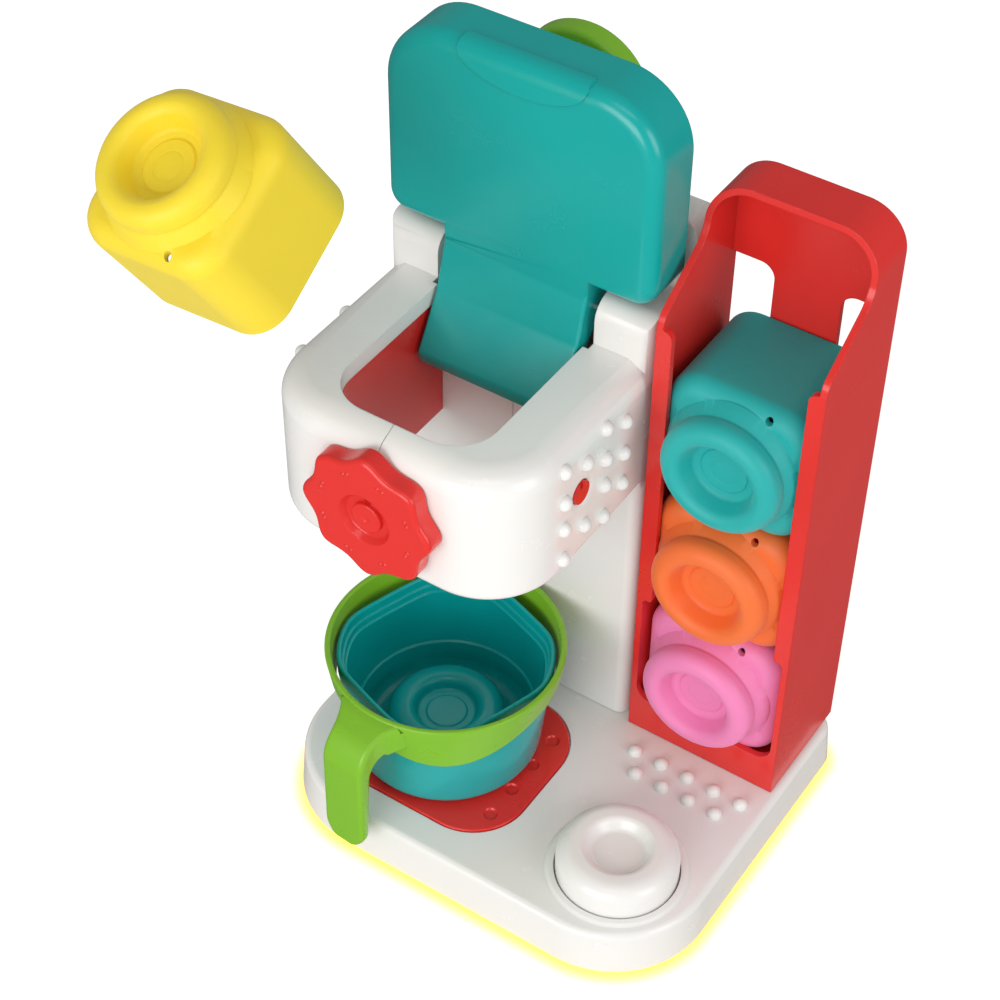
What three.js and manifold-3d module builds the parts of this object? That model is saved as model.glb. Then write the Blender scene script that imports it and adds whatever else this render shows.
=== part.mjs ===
// Toy coffee maker with a pod rack, a cup in a holder and four soft pods.
// Millimetres. +Z is up, +X is the machine's right as seen from its front, and the front faces -Y.
// The origin is the middle of the base's flat underside. The small rubber feet stand below it.

import * as THREE from 'three';
import { mergeVertices } from 'three/addons/utils/BufferGeometryUtils.js';
import Module from 'manifold-3d';

const wasm = await Module();
wasm.setup();

// Clearances shared by all pieces
const gap = 0.3;
const overrun = 4;
const weld = 0.0001;
const leastRadius = 1;

// Base
const baseWidth = 212;
const baseDepth = 178;
const baseHeight = 26;
const baseFrontRadius = 48;
const baseRearRadius = 12;
const baseWall = 2.6;
const baseTopThickness = 3.4;
const baseDraft = 1.6;
const baseEdgeRadius = 3;
const bumpRadius = 3.5;
const bumpPitch = 14.1;
const bumpRowPitch = 11.4;
const bumpRightEdge = 13.6;
const bumpBackRow = 74;
const bumpColumns = 5;

// Light ring, bottom plate and feet
const lightRingHeight = 2.4;
const lightRingWidth = 6;
const lightRingInset = 0.8;
const plateThickness = 2.4;
const footRadius = 8;
const footDrop = 1.2;
const footPocket = 0.8;
const bossRadius = 4.5;
const screwRadius = 1.5;
const screwHeadRadius = 3.2;
const screwHeadHeight = 2;
const screwLength = 12;
const screwHoleClearance = 0.5;

// Battery compartment
const batteryRadius = 7.1;
const batteryLength = 48.5;
const batteryTipRadius = 2.6;
const batteryTipLength = 1.6;
const batteryCount = 3;
const batteryPitch = 14.9;
const batteryBoxWall = 1.5;
const batteryBoxShare = 0.2123;
const batteryBoxY = -24;
const contactThickness = 0.5;
const doorClearance = 0.4;

// Electronics
const boardXShare = 0.1981;
const boardY = 26;
const boardWidth = 50;
const boardDepth = 34;
const boardThickness = 1.6;
const boardStandoff = 3.5;
const speakerX = 8;
const speakerY = -50;
const speakerRadius = 18;
const speakerHeight = 8;
const speakerMagnetRadius = 9;
const speakerHoleRadius = 1.6;
const ledRadius = 2.5;
const ledHeight = 5;
const chipHeight = 2.2;

// Push button
const buttonXShare = 0.3028;
const buttonY = -47;
const buttonRadius = 28;
const buttonTop = 42;
const buttonCrestRadius = 20.5;
const buttonDishRadius = 13.8;
const buttonDishDepth = 4.8;
const buttonWall = 2.4;
const buttonFlange = 2.6;
const buttonFlangeThickness = 2;
const buttonTravel = 3;
const buttonStemRadius = 4;
const collarWidth = 3.4;
const collarHeight = 1.1;
const springRadius = 9.5;
const springWire = 0.6;
const springTurns = 5;
const springSeatHeight = 9;
const springSeatWall = 2.4;
const switchWidth = 10;
const switchHeight = 5;
const switchPlungerRadius = 2.5;
const switchPlungerHeight = 3;

// Drip plate
const dripXShare = 0.1858;
const dripY = -27.9;
const dripWidthShare = 0.4868;
const dripDepth = 87.8;
const dripRadius = 28;
const dripSunk = 1.8;
const dripProud = 0.8;
const dimpleRadius = 3.4;
const dimpleDepth = 0.8;
const dimplePitch = 17.4;
const dimpleInset = 11.7;
const dimpleCount = 4;

// Tower: column, head and hinge posts
const towerWidthShare = 0.6179;
const towerOverhang = 5;
const towerWall = 2.6;
const columnDepth = 57.5;
const columnRearInset = 1;
const columnSideInset = 7.5;
const columnCornerRadius = 6;
const headReach = 99.5;
const headBottom = 176;
const headHeight = 69;
const shoulderDrop = 5;
const headFrontRadius = 35;
const headBottomRadius = 5;
const headTopRadius = 9;
const shoulderTurnShare = 0.8;
const postRadius = 10;
const slotRiseShare = 0.348;
const upstandRise = 35.5;
const upstandTopDepth = 17;
const upstandFootDepth = 29;
const upstandRadius = 4;
const upstandSideRadius = 12;
const innerWallThickness = 2.4;

// Chamber in the head
const mouthWidthShare = 0.5573;
const mouthFrontInset = 12.6;
const mouthRadius = 20;
const linerSetback = 0.8;
const linerWall = 1.6;
const linerDrop = 5;
const linerHeadroom = 5.4;

// Head sides: window, pin and bumps
const windowDepth = 71.9;
const windowHeightShare = 0.51;
const windowRadius = 9.5;
const windowDish = 1.4;
const pinRadius = 5.5;
const sideBumpPitchY = 15.2;
const sideBumpPitchShare = 0.2377;

// Knob
const knobHeightShare = 0.4855;
const knobRadius = 32;
const knobValley = 28.4;
const knobLobes = 8;
const knobThickness = 9.5;
const knobBevel = 2.2;
const knobRecessRadius = 12.5;
const knobRecessDepth = 3.2;
const knobHubRadius = 7;
const knobHubHeight = 2;
const knobSocketDepth = 4.5;
const shaftRadius = 4.6;
const clickWheelRadius = 14;
const clickWheelValley = 12.6;
const clickWheelTeeth = 12;
const clickWheelThickness = 2.6;
const clickSpringThickness = 0.8;
const clickSpringHalfLength = 12;

// Lid
const lidThickness = 26;
const lidCloseGap = 0.6;
const lidFaceOffset = 10.9;
const lidLowerEdge = 15.5;
const lidFrontOverhang = 1;
const lidTopRadius = 30;
const lidBottomRadius = 10;
const lidEdgeRadius = 7;
const lidWall = 2.6;
const lidPanelThickness = 2.2;
const lidPanelDome = 2.4;
const lidPanelStepShare = 0.6;
const tongueWidth = 72;
const tongueReach = 43;
const tongueFootRadius = 8;
const tongueBellyRadius = 12;
const tongueNoseRadius = 4;
const tongueTipRadius = 1;
const tongueHeelRadius = 2;
const tongueBackRadius = 3;
const tongueNeckRadius = 4;
const tongueBellyShares = [0.4, 0.27];
const tongueNoseShares = [0.74, 0.85];
const tongueTipShares = [0.68, 1];
const tongueHeelShares = [0.58, 1];
const tongueBackShares = [0.5, 0.8];
const barrelDropShare = 1.4;
const barrelCornerShare = 0.8;
const barrelReachShare = 1.9;
const hingeBarrelRadius = 7.2;
const hingePinRadius = 2.4;
const hingePinLength = 16;

// Carry handle
const handleRise = 66;
const handleOuterRadius = 30;
const handleBar = 12;
const handleDepth = 11;
const handleTail = 11;

// Pod rack
const rackWidthShare = 0.3632;
const rackMargin = 5.4;
const rackDepth = 59.4;
const rackRearInset = 0.7;
const rackWall = 3;
const rackFloor = 41;
const rackFloorThickness = 2.8;
const rackLip = 46;
const rackHeight = 321.5;
const rackTopRadius = 19;
const rackFlangeWidth = 7.5;
const rackFlangeBottom = 112;
const rackFrontTop = 268;
const rackWindowTop = 273;
const rackWindowBottom = 60;
const rackWindowWidth = 20;
const rackWindowRadius = 7;
const rackWindowOuterRadius = 0.001;
const rackSideShares = [
  [0, 0],
  [0.03, 0.11],
  [0.18, 0.22],
  [0.35, 0.33],
  [0.49, 0.45],
  [0.56, 0.62],
  [0.58, 0.8],
  [0.66, 1],
];

// Pods
const podClearance = 1.3;
const podCornerRadius = 16;
const podLength = 70;
const podShoulder = 15.5;
const podFillet = 10;
const podWall = 2.6;
const podRingShare = 0.6287;
const podTubeShare = 0.1813;
const podDishDepth = 9.5;
const podVentRadius = 1.75;
const podVentX = 14.3;
const podVentZ = 29.5;
const podInnerFoldShare = 0.6;
const podArcShare = 0.13;
const podDishShare = 1.1;
const loosePodX = -110.7;
const loosePodY = -105.4;
const loosePodZ = 378.5;
const loosePodTilt = 31.48;
const loosePodTurn = -6.36;
const loosePodRoll = 180.86;

// Cup and its holder
const cupY = -25;
const cupRadius = 50;
const cupFootRadius = 44.5;
const cupFillet = 8;
const cupRim = 88.5;
const cupWall = 2.2;
const cupTurn = 18.6;
const cupFlatShare = 0.1;
const cupFlats = 4;
const cupFootInShare = 0.3;
const cupFootUpShare = 0.25;
const cupFloorInShare = 0.8;
const cupFloorStepShare = 1.6;
const cupTubeShare = 0.7;
const cupTubeLowShare = 0.2;
const cupRingRadius = 17;
const cupRingTube = 5;
const holderTop = 91;
const holderRadius = 54.5;
const holderWall = 2.8;
const holderTaper = 2.16;
const holderMiddle = 72;
const holderWave = 6;
const holderWaves = 3;
const holderLow = -57;
const grabDirection = -4;
const grabWidth = 20;
const grabReach = 20;
const grabThickness = 5;
const grabBottom = 13;
const grabRadius = 11;
const grabTipRadius = 1;
const grabRootShare = 1.6;
const grabTipShare = 0.6;

// Roundness
const cornerSteps = 5;
const turnSteps = 24;
const smallSteps = 8;
const bumpSteps = 4;
const footSteps = 16;
const buttonSteps = 30;
const holderSteps = 36;
const cupSteps = 28;
const edgeSteps = 3;
const lidEdgeSteps = 4;
const tongueSteps = 4;
const handleSteps = 8;
const lobeSteps = 8;
const toothSteps = 6;
const wireSides = 5;
const coilSteps = 10;

// Places worked out from the sizes above
const shellBottom = lightRingHeight + gap;
const buttonX = buttonXShare * baseWidth;
const dripX = -dripXShare * baseWidth;
const dripWidth = dripWidthShare * baseWidth;
const batteryBoxX = -batteryBoxShare * baseWidth;
const boardX = boardXShare * baseWidth;
const towerWidth = towerWidthShare * baseWidth;
const towerX = (towerWidth - baseWidth) / 2 - towerOverhang;
const mouthWidth = mouthWidthShare * towerWidth;
const rimHeight = headBottom + headHeight;
const headShoulder = rimHeight - shoulderDrop;
const slotBottom = headBottom + slotRiseShare * headHeight;
const windowHeight = headBottom + windowHeightShare * headHeight;
const sideBumpPitchZ = sideBumpPitchShare * headHeight;
const knobHeight = headBottom + knobHeightShare * headHeight;
const rackWidth = rackWidthShare * baseWidth;
const rackX = (baseWidth - rackWidth) / 2 - rackMargin;
const podSize = rackWidth - 2 * rackWall - 2 * podClearance;
const podRingRadius = podRingShare * podSize / 2;
const podRingTube = podTubeShare * podSize / 2;
const baseCeiling = baseHeight - baseTopThickness;
const towerLeft = towerX - towerWidth / 2;
const towerRight = towerX + towerWidth / 2;
const columnRear = baseDepth / 2 - columnRearInset;
const columnFront = columnRear - columnDepth;
const columnBottom = baseHeight + gap;
const headFront = columnFront - headReach;
const hingeY = columnFront + postRadius;
const hingeZ = rimHeight + lidCloseGap + lidFaceOffset;
const upstandHeight = hingeZ + upstandRise;
const mouthFront = headFront + mouthFrontInset;
const linerInner = mouthWidth / 2 + linerSetback;
const linerOuter = linerInner + linerWall;
const slotHalf = linerOuter + gap;
const lidFront = hingeY - lidFaceOffset;
const lidRear = lidFront + lidThickness;
const lidBottom = hingeZ + lidLowerEdge;
const lidTop = hingeZ + hingeY - headFront + lidFrontOverhang;
const rackRear = baseDepth / 2 - rackRearInset;
const rackFront = rackRear - rackDepth;
const rackBottom = baseHeight + gap;
const rackInner = rackWidth / 2 - rackWall;
const podHalf = podSize / 2;
const podRear = rackRear - rackFloorThickness - gap;
const cupBottom = baseHeight + dripProud + gap;
const windowY = -baseDepth / 2 + windowDepth;

const materials = {
  white: new THREE.MeshStandardMaterial({ color: 0xf3f2ee, roughness: 0.28, metalness: 0 }),
  teal: new THREE.MeshStandardMaterial({ color: 0x0aa8a4, roughness: 0.2, metalness: 0 }),
  red: new THREE.MeshStandardMaterial({ color: 0xe8463f, roughness: 0.3, metalness: 0 }),
  green: new THREE.MeshStandardMaterial({ color: 0x87be3a, roughness: 0.3, metalness: 0 }),
  cupTeal: new THREE.MeshStandardMaterial({ color: 0x12a8a6, roughness: 0.22, metalness: 0 }),
  softTeal: new THREE.MeshStandardMaterial({ color: 0x19b8b8, roughness: 0.55, metalness: 0 }),
  softOrange: new THREE.MeshStandardMaterial({ color: 0xf58634, roughness: 0.55, metalness: 0 }),
  softPink: new THREE.MeshStandardMaterial({ color: 0xf28cc0, roughness: 0.55, metalness: 0 }),
  softYellow: new THREE.MeshStandardMaterial({ color: 0xe8cc2e, roughness: 0.5, metalness: 0 }),
  glow: new THREE.MeshStandardMaterial({ color: 0xffd873, roughness: 0.4, metalness: 0 }),
  steel: new THREE.MeshStandardMaterial({ color: 0xb9bcc0, roughness: 0.35, metalness: 1 }),
  board: new THREE.MeshStandardMaterial({ color: 0x2f7d4a, roughness: 0.5, metalness: 0 }),
  dark: new THREE.MeshStandardMaterial({ color: 0x2b2c2e, roughness: 0.6, metalness: 0 }),
  battery: new THREE.MeshStandardMaterial({ color: 0x3f4d58, roughness: 0.4, metalness: 0.2 }),
};

// An outline whose corners [u, v, radius] are rounded with true arcs
function rounded(corners, steps = cornerSteps) {
  const points = [];
  corners.forEach(([u, v, radius], i) => {
    const here = new THREE.Vector2(u, v);
    const before = corners[(i + corners.length - 1) % corners.length];
    const after = corners[(i + 1) % corners.length];
    const back = new THREE.Vector2(before[0], before[1]).sub(here).normalize();
    const ahead = new THREE.Vector2(after[0], after[1]).sub(here).normalize();
    if (!radius) {
      points.push(here);
      return;
    }
    const half = Math.acos(THREE.MathUtils.clamp(back.dot(ahead), -1, 1)) / 2;
    const middle = back.clone().add(ahead).normalize();
    const centre = here.clone().addScaledVector(middle, radius / Math.sin(half));
    const start = here.clone().addScaledVector(back, radius / Math.tan(half)).sub(centre).angle();
    const end = here.clone().addScaledVector(ahead, radius / Math.tan(half)).sub(centre).angle();
    const turn = THREE.MathUtils.euclideanModulo(end - start + Math.PI, 2 * Math.PI) - Math.PI;
    for (let k = 0; k <= steps; k += 1) {
      const angle = start + turn * k / steps;
      points.push(new THREE.Vector2(Math.cos(angle), Math.sin(angle)).multiplyScalar(radius).add(centre));
    }
  });
  return points;
}

// A rectangle in plan, with one radius at its front corners and one at its rear corners
function plan(left, right, front, rear, frontRadius, rearRadius, inset = 0) {
  const nearRadius = Math.max(frontRadius - inset, weld);
  const farRadius = Math.max(rearRadius - inset, weld);
  return rounded([
    [left + inset, front + inset, nearRadius],
    [right - inset, front + inset, nearRadius],
    [right - inset, rear - inset, farRadius],
    [left + inset, rear - inset, farRadius],
  ]);
}

function circle(radius, steps = turnSteps, x = 0, y = 0) {
  return Array.from({ length: steps }, (_, i) => {
    const angle = 2 * Math.PI * i / steps;
    return new THREE.Vector2(x + radius * Math.cos(angle), y + radius * Math.sin(angle));
  });
}

function level(points, z) {
  return points.map((p) => new THREE.Vector3(p.x, p.y, z));
}

// A skin over rings of equal point counts: capped at both ends, or joined end to end when closed
function loft(rings, closed = false) {
  const count = rings[0].length;
  const geometry = new THREE.BufferGeometry();
  geometry.setAttribute('position',
    new THREE.Float32BufferAttribute(rings.flat().flatMap((p) => p.toArray()), 3));
  const faces = [];
  const bands = closed ? rings.length : rings.length - 1;
  for (let i = 0; i < bands; i += 1) {
    const low = i * count;
    const high = ((i + 1) % rings.length) * count;
    for (let j = 0; j < count; j += 1) {
      const next = (j + 1) % count;
      faces.push(low + j, low + next, high + next, low + j, high + next, high + j);
    }
  }
  const last = (rings.length - 1) * count;
  for (let j = 1; !closed && j < count - 1; j += 1) {
    faces.push(0, j + 1, j, last, last + j, last + j + 1);
  }
  geometry.setIndex(faces);
  return geometry;
}

// A straight-sided piece from an outline, along X, Y or Z
function prism(points, low, high, axis = 'z', holes = []) {
  const shape = new THREE.Shape(points);
  shape.holes = holes.map((hole) => new THREE.Path(hole));
  const geometry = new THREE.ExtrudeGeometry(shape, { depth: high - low, bevelEnabled: false, steps: 1 });
  const x = new THREE.Vector3(1, 0, 0);
  const y = new THREE.Vector3(0, 1, 0);
  const z = new THREE.Vector3(0, 0, 1);
  const toX = new THREE.Matrix4().makeBasis(y, z, x);
  const toY = new THREE.Matrix4().makeBasis(x, z, y.clone().negate());
  if (axis === 'x') {
    return geometry.applyMatrix4(toX).translate(low, 0, 0);
  }
  if (axis === 'y') {
    return geometry.applyMatrix4(toY).translate(0, high, 0);
  }
  return geometry.translate(0, 0, low);
}

function block(x0, x1, y0, y1, z0, z1) {
  const geometry = new THREE.BoxGeometry(x1 - x0, y1 - y0, z1 - z0);
  return geometry.translate((x0 + x1) / 2, (y0 + y1) / 2, (z0 + z1) / 2);
}

// A round bar along X, Y or Z
function rod(radius, x, y, z, length, axis = 'z', steps = smallSteps) {
  const geometry = new THREE.CylinderGeometry(radius, radius, length, steps);
  if (axis === 'z') {
    geometry.rotateX(Math.PI / 2);
  }
  if (axis === 'x') {
    geometry.rotateZ(Math.PI / 2);
  }
  const along = { x: [length / 2, 0, 0], y: [0, length / 2, 0], z: [0, 0, length / 2] }[axis];
  return geometry.translate(x + along[0], y + along[1], z + along[2]);
}

// A turned piece about Z from a profile of [radius, height], the outside going up
function turned(profile, x = 0, y = 0, steps = turnSteps) {
  const points = profile.map(([radius, height]) => new THREE.Vector2(radius, height));
  return new THREE.LatheGeometry(points, steps).rotateX(Math.PI / 2).translate(x, y, 0);
}

function ball(radius, x, y, z) {
  const geometry = new THREE.SphereGeometry(radius, smallSteps, bumpSteps);
  return geometry.rotateX(Math.PI / 2).translate(x, y, z);
}

function solid(shape) {
  if (shape instanceof wasm.Manifold) {
    return shape;
  }
  const bare = shape.clone();
  bare.deleteAttribute('normal');
  bare.deleteAttribute('uv');
  const merged = mergeVertices(bare, weld);
  const triangles = [];
  for (let i = 0; i < merged.index.count; i += 3) {
    const [a, b, c] = merged.index.array.slice(i, i + 3);
    if (a !== b && b !== c && a !== c) {
      triangles.push(a, b, c);
    }
  }
  const mesh = new wasm.Mesh({
    numProp: 3,
    vertProperties: new Float32Array(merged.attributes.position.array),
    triVerts: new Uint32Array(triangles),
  });
  return new wasm.Manifold(mesh);
}

function join(first, ...others) {
  return others.reduce((whole, piece) => whole.add(solid(piece)), solid(first));
}

function cut(first, ...others) {
  return others.reduce((whole, piece) => whole.subtract(solid(piece)), solid(first));
}

function common(first, ...others) {
  return others.reduce((whole, piece) => whole.intersect(solid(piece)), solid(first));
}

const machine = new THREE.Group();

function add(name, shape, material, group = machine) {
  const mesh = solid(shape).getMesh();
  const geometry = new THREE.BufferGeometry();
  geometry.setAttribute('position', new THREE.BufferAttribute(mesh.vertProperties, 3));
  geometry.setIndex(new THREE.BufferAttribute(mesh.triVerts, 1));
  geometry.computeVertexNormals();
  const part = new THREE.Mesh(geometry, material);
  part.name = name;
  group.add(part);
  return part;
}

// Base, light ring, bottom plate and feet
const bottomScrewShares = [[-0.87, 0.8], [0.87, 0.8], [-0.86, -0.2], [0.86, 0], [-0.42, -0.82], [0.3, -0.82]];
const footShares = [[-0.72, -0.66], [0.72, -0.66], [-0.72, 0.7], [0.72, 0.7]];

function basePoint([shareX, shareY]) {
  return [shareX * baseWidth / 2, shareY * baseDepth / 2];
}

function baseOutline(inset) {
  const halfWidth = baseWidth / 2;
  const halfDepth = baseDepth / 2;
  return plan(-halfWidth, halfWidth, -halfDepth, halfDepth, baseFrontRadius, baseRearRadius, inset);
}

function baseBody() {
  const rings = [level(baseOutline(0), shellBottom)];
  for (let i = 0; i <= edgeSteps; i += 1) {
    const angle = Math.PI / 2 * i / edgeSteps;
    const inset = baseDraft + baseEdgeRadius * (1 - Math.cos(angle));
    rings.push(level(baseOutline(inset), baseHeight - baseEdgeRadius * (1 - Math.sin(angle))));
  }
  const hollow = loft([
    level(baseOutline(baseWall), shellBottom - overrun),
    level(baseOutline(baseWall + baseDraft), baseCeiling),
  ]);
  return cut(loft(rings), hollow);
}

function baseBumps() {
  const bumps = [];
  const right = baseWidth / 2 - bumpRightEdge;
  const back = baseDepth / 2 - bumpBackRow;
  for (let i = 0; i < bumpColumns; i += 1) {
    bumps.push(ball(bumpRadius, right - i * bumpPitch, back, baseHeight));
  }
  for (let i = 0; i < bumpColumns - 1; i += 1) {
    bumps.push(ball(bumpRadius, right - (i + 1 / 2) * bumpPitch, back - bumpRowPitch, baseHeight));
  }
  return bumps;
}

function buttonCollar() {
  const inner = buttonRadius + 2 * gap;
  return turned([
    [inner, baseHeight - baseTopThickness / 2],
    [inner + collarWidth, baseHeight - baseTopThickness / 2],
    [inner + collarWidth, baseHeight],
    [inner + collarWidth * 2 / 3, baseHeight + collarHeight],
    [inner + collarWidth / 3, baseHeight + collarHeight],
    [inner, baseHeight],
    [inner, baseHeight - baseTopThickness / 2],
  ], buttonX, buttonY);
}

function dripOutline(inset) {
  const halfWidth = dripWidth / 2;
  const halfDepth = dripDepth / 2;
  return plan(dripX - halfWidth, dripX + halfWidth, dripY - halfDepth, dripY + halfDepth, dripRadius,
    dripRadius, inset);
}

// Screws that hold the tower and the rack to the base, from below
const towerScrewShares = [[-0.64, 0.3], [-0.64, 0.8], [0.64, 0.3], [0.64, 0.8]];
const rackScrewShares = [[-0.45, 0.3], [0.45, 0.75]];

function towerScrewPoint([shareX, shareY]) {
  const left = towerLeft + columnSideInset;
  const middle = (left + towerRight) / 2;
  return [middle + shareX * (towerRight - left) / 2, columnFront + shareY * columnDepth];
}

function rackScrewPoint([shareX, shareY]) {
  return [rackX + shareX * rackWidth / 2, rackFront + shareY * rackDepth];
}

const upperScrews = [...towerScrewShares.map(towerScrewPoint), ...rackScrewShares.map(rackScrewPoint)];

function baseShell() {
  const bosses = bottomScrewShares.map(basePoint).map(([x, y]) => {
    const start = plateThickness + gap;
    return rod(bossRadius, x, y, start, baseCeiling + gap - start);
  });
  const pilots = bottomScrewShares.map(basePoint).map(([x, y]) => {
    return rod(screwRadius + gap, x, y, 0, plateThickness + screwLength + gap);
  });
  const screwHoles = upperScrews.map(([x, y]) => {
    return rod(screwRadius + screwHoleClearance, x, y, baseCeiling - overrun, baseTopThickness + 2 * overrun);
  });
  const buttonHole = rod(buttonRadius + 2 * gap, buttonX, buttonY, baseCeiling - overrun,
    baseTopThickness + 2 * overrun, 'z', turnSteps);
  const recess = prism(dripOutline(0), baseHeight - dripSunk, baseHeight + overrun);
  const whole = join(baseBody(), buttonCollar(), ...baseBumps(), ...bosses);
  return cut(whole, ...pilots, ...screwHoles, buttonHole, recess);
}

function lightRing() {
  const outer = baseOutline(lightRingInset);
  const inner = baseOutline(lightRingInset + lightRingWidth);
  return prism(outer, 0, lightRingHeight, 'z', [inner]);
}

// Battery door opening in the bottom plate, and the box over it
const batteryWidth = batteryLength + batteryTipLength + 4 * gap + 2 * contactThickness;
const batterySpan = batteryPitch * batteryCount;
const batteryMiddle = plateThickness + gap + batteryRadius;

function doorOutline(inset) {
  const halfWidth = batteryWidth / 2;
  const halfSpan = batterySpan / 2;
  return plan(batteryBoxX - halfWidth, batteryBoxX + halfWidth, batteryBoxY - halfSpan,
    batteryBoxY + halfSpan,
    bossRadius, bossRadius, inset);
}

function bottomPlate() {
  const outline = baseOutline(lightRingInset + lightRingWidth + gap);
  const plate = prism(outline, 0, plateThickness, 'z', [doorOutline(0)]);
  const seat = turned([
    [springRadius - springWire - springSeatWall / 2, plateThickness - gap],
    [springRadius + springWire + springSeatWall / 2, plateThickness - gap],
    [springRadius + springWire + springSeatWall / 2, springSeatHeight],
    [springRadius - springWire - springSeatWall / 2, springSeatHeight],
    [springRadius - springWire - springSeatWall / 2, plateThickness - gap],
  ], buttonX, buttonY);
  const standoffs = boardCorners().map(([x, y]) => {
    return rod(bossRadius / 2, x, y, plateThickness - gap, boardStandoff + gap);
  });
  const pockets = footShares.map(basePoint).map(([x, y]) => {
    return rod(footRadius + gap, x, y, -overrun, overrun + footPocket, 'z', footSteps);
  });
  const screwHoles = bottomScrewShares.map(basePoint).map(([x, y]) => {
    return rod(screwRadius + screwHoleClearance, x, y, -overrun, 2 * overrun + plateThickness);
  });
  const headPockets = bottomScrewShares.map(basePoint).map(([x, y]) => {
    return rod(screwHeadRadius + gap, x, y, -overrun, overrun + screwHeadHeight - gap);
  });
  const grille = speakerHoles().map(([x, y]) => rod(speakerHoleRadius, x, y, -overrun,
    2 * overrun + plateThickness));
  return cut(join(plate, seat, ...standoffs), ...pockets, ...screwHoles, ...headPockets, ...grille);
}

function boardCorners() {
  const halfWidth = boardWidth / 2 - bossRadius;
  const halfDepth = boardDepth / 2 - bossRadius;
  return [[-1, -1], [1, -1], [1, 1], [-1, 1]].map(([x, y]) => [boardX + x * halfWidth,
    boardY + y * halfDepth]);
}

function speakerHoles() {
  const around = circle(speakerRadius / 2, cornerSteps, speakerX, speakerY).map((p) => [p.x, p.y]);
  return [[speakerX, speakerY], ...around];
}

function foot([x, y]) {
  return rod(footRadius, x, y, -footDrop, footDrop + footPocket - gap, 'z', footSteps);
}

function screw(x, y, headBottom, length) {
  const head = rod(screwHeadRadius, x, y, headBottom, screwHeadHeight);
  const shank = rod(screwRadius, x, y, headBottom + screwHeadHeight - gap, length + gap);
  return join(head, shank);
}

function bottomScrew([x, y]) {
  return screw(x, y, -2 * gap, screwLength);
}

function upperScrew([x, y]) {
  return screw(x, y, baseCeiling - gap - screwHeadHeight, screwLength);
}

function batteryBox() {
  const halfWidth = batteryWidth / 2 + batteryBoxWall;
  const halfSpan = batterySpan / 2 + batteryBoxWall;
  const bottom = plateThickness + gap;
  const top = batteryMiddle + batteryRadius + gap;
  const outer = block(batteryBoxX - halfWidth, batteryBoxX + halfWidth, batteryBoxY - halfSpan,
    batteryBoxY + halfSpan,
    bottom, top + batteryBoxWall);
  const innerWidth = halfWidth - batteryBoxWall;
  const innerSpan = halfSpan - batteryBoxWall;
  const inner = block(batteryBoxX - innerWidth, batteryBoxX + innerWidth, batteryBoxY - innerSpan,
    batteryBoxY + innerSpan, bottom - overrun, top);
  return cut(outer, inner);
}

function battery(i) {
  const y = batteryBoxY + (i - (batteryCount - 1) / 2) * batteryPitch;
  const side = i % 2 === 0 ? 1 : -1;
  const start = batteryBoxX - side * (batteryTipLength / 2) - batteryLength / 2;
  const body = rod(batteryRadius, start, y, batteryMiddle, batteryLength, 'x');
  const tipStart = side > 0 ? start + batteryLength - gap : start - batteryTipLength;
  return join(body, rod(batteryTipRadius, tipStart, y, batteryMiddle, batteryTipLength + gap, 'x'));
}

function batteryContact(side) {
  const halfSpan = batterySpan / 2 - gap;
  const outerX = batteryBoxX + side * (batteryWidth / 2 - gap);
  const innerX = outerX - side * contactThickness;
  return block(Math.min(outerX, innerX), Math.max(outerX, innerX), batteryBoxY - halfSpan,
    batteryBoxY + halfSpan,
    batteryMiddle - batteryRadius / 2, batteryMiddle + batteryRadius / 2);
}

function batteryDoor() {
  const ribs = prism(doorOutline(doorClearance), 0, plateThickness);
  const hole = rod(screwRadius + screwHoleClearance, batteryBoxX, batteryBoxY, -overrun,
    2 * overrun + plateThickness);
  const pocket = rod(screwHeadRadius + gap, batteryBoxX, batteryBoxY, -overrun, overrun + plateThickness / 2);
  return cut(ribs, hole, pocket);
}

function batteryDoorScrew() {
  const head = rod(screwHeadRadius, batteryBoxX, batteryBoxY, gap, plateThickness / 2 - 2 * gap);
  const shank = rod(screwRadius, batteryBoxX, batteryBoxY, plateThickness / 2 - 2 * gap,
    plateThickness / 2 + 2 * gap);
  return join(head, shank);
}

// Electronics on the bottom plate
function circuitBoard() {
  const bottom = plateThickness + boardStandoff + gap;
  const board = block(boardX - boardWidth / 2, boardX + boardWidth / 2, boardY - boardDepth / 2,
    boardY + boardDepth / 2,
    bottom, bottom + boardThickness);
  const top = bottom + boardThickness - gap;
  const chip = block(boardX - boardWidth / 5, boardX, boardY - boardDepth / 5, boardY + boardDepth / 5,
    top, top + chipHeight);
  const part = block(boardX + boardWidth / 8, boardX + boardWidth / 4, boardY, boardY + boardDepth / 4,
    top, top + chipHeight);
  return join(board, chip, part);
}

const ledInset = lightRingInset + lightRingWidth + 2 * ledRadius;
const ledX = baseWidth / 2 - ledInset;
const ledY = baseDepth / 2 - ledInset;
const ledPlaces = [[-ledX, ledY / 8], [ledX, ledY / 4], [0, -ledY], [ledX / 8, ledY]];

function led([x, y]) {
  const bottom = plateThickness + gap;
  return turned([
    [0, bottom],
    [ledRadius, bottom],
    [ledRadius, bottom + ledHeight - ledRadius],
    [ledRadius * Math.SQRT1_2, bottom + ledHeight - ledRadius * (1 - Math.SQRT1_2)],
    [0, bottom + ledHeight],
  ], x, y, smallSteps);
}

function speaker() {
  const bottom = plateThickness + gap;
  return turned([
    [0, bottom + speakerHeight / 4],
    [speakerRadius * 3 / 4, bottom],
    [speakerRadius, bottom],
    [speakerRadius, bottom + speakerHeight / 4],
    [speakerMagnetRadius, bottom + speakerHeight / 2],
    [speakerMagnetRadius, bottom + speakerHeight],
    [0, bottom + speakerHeight],
  ], speakerX, speakerY);
}

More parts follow.
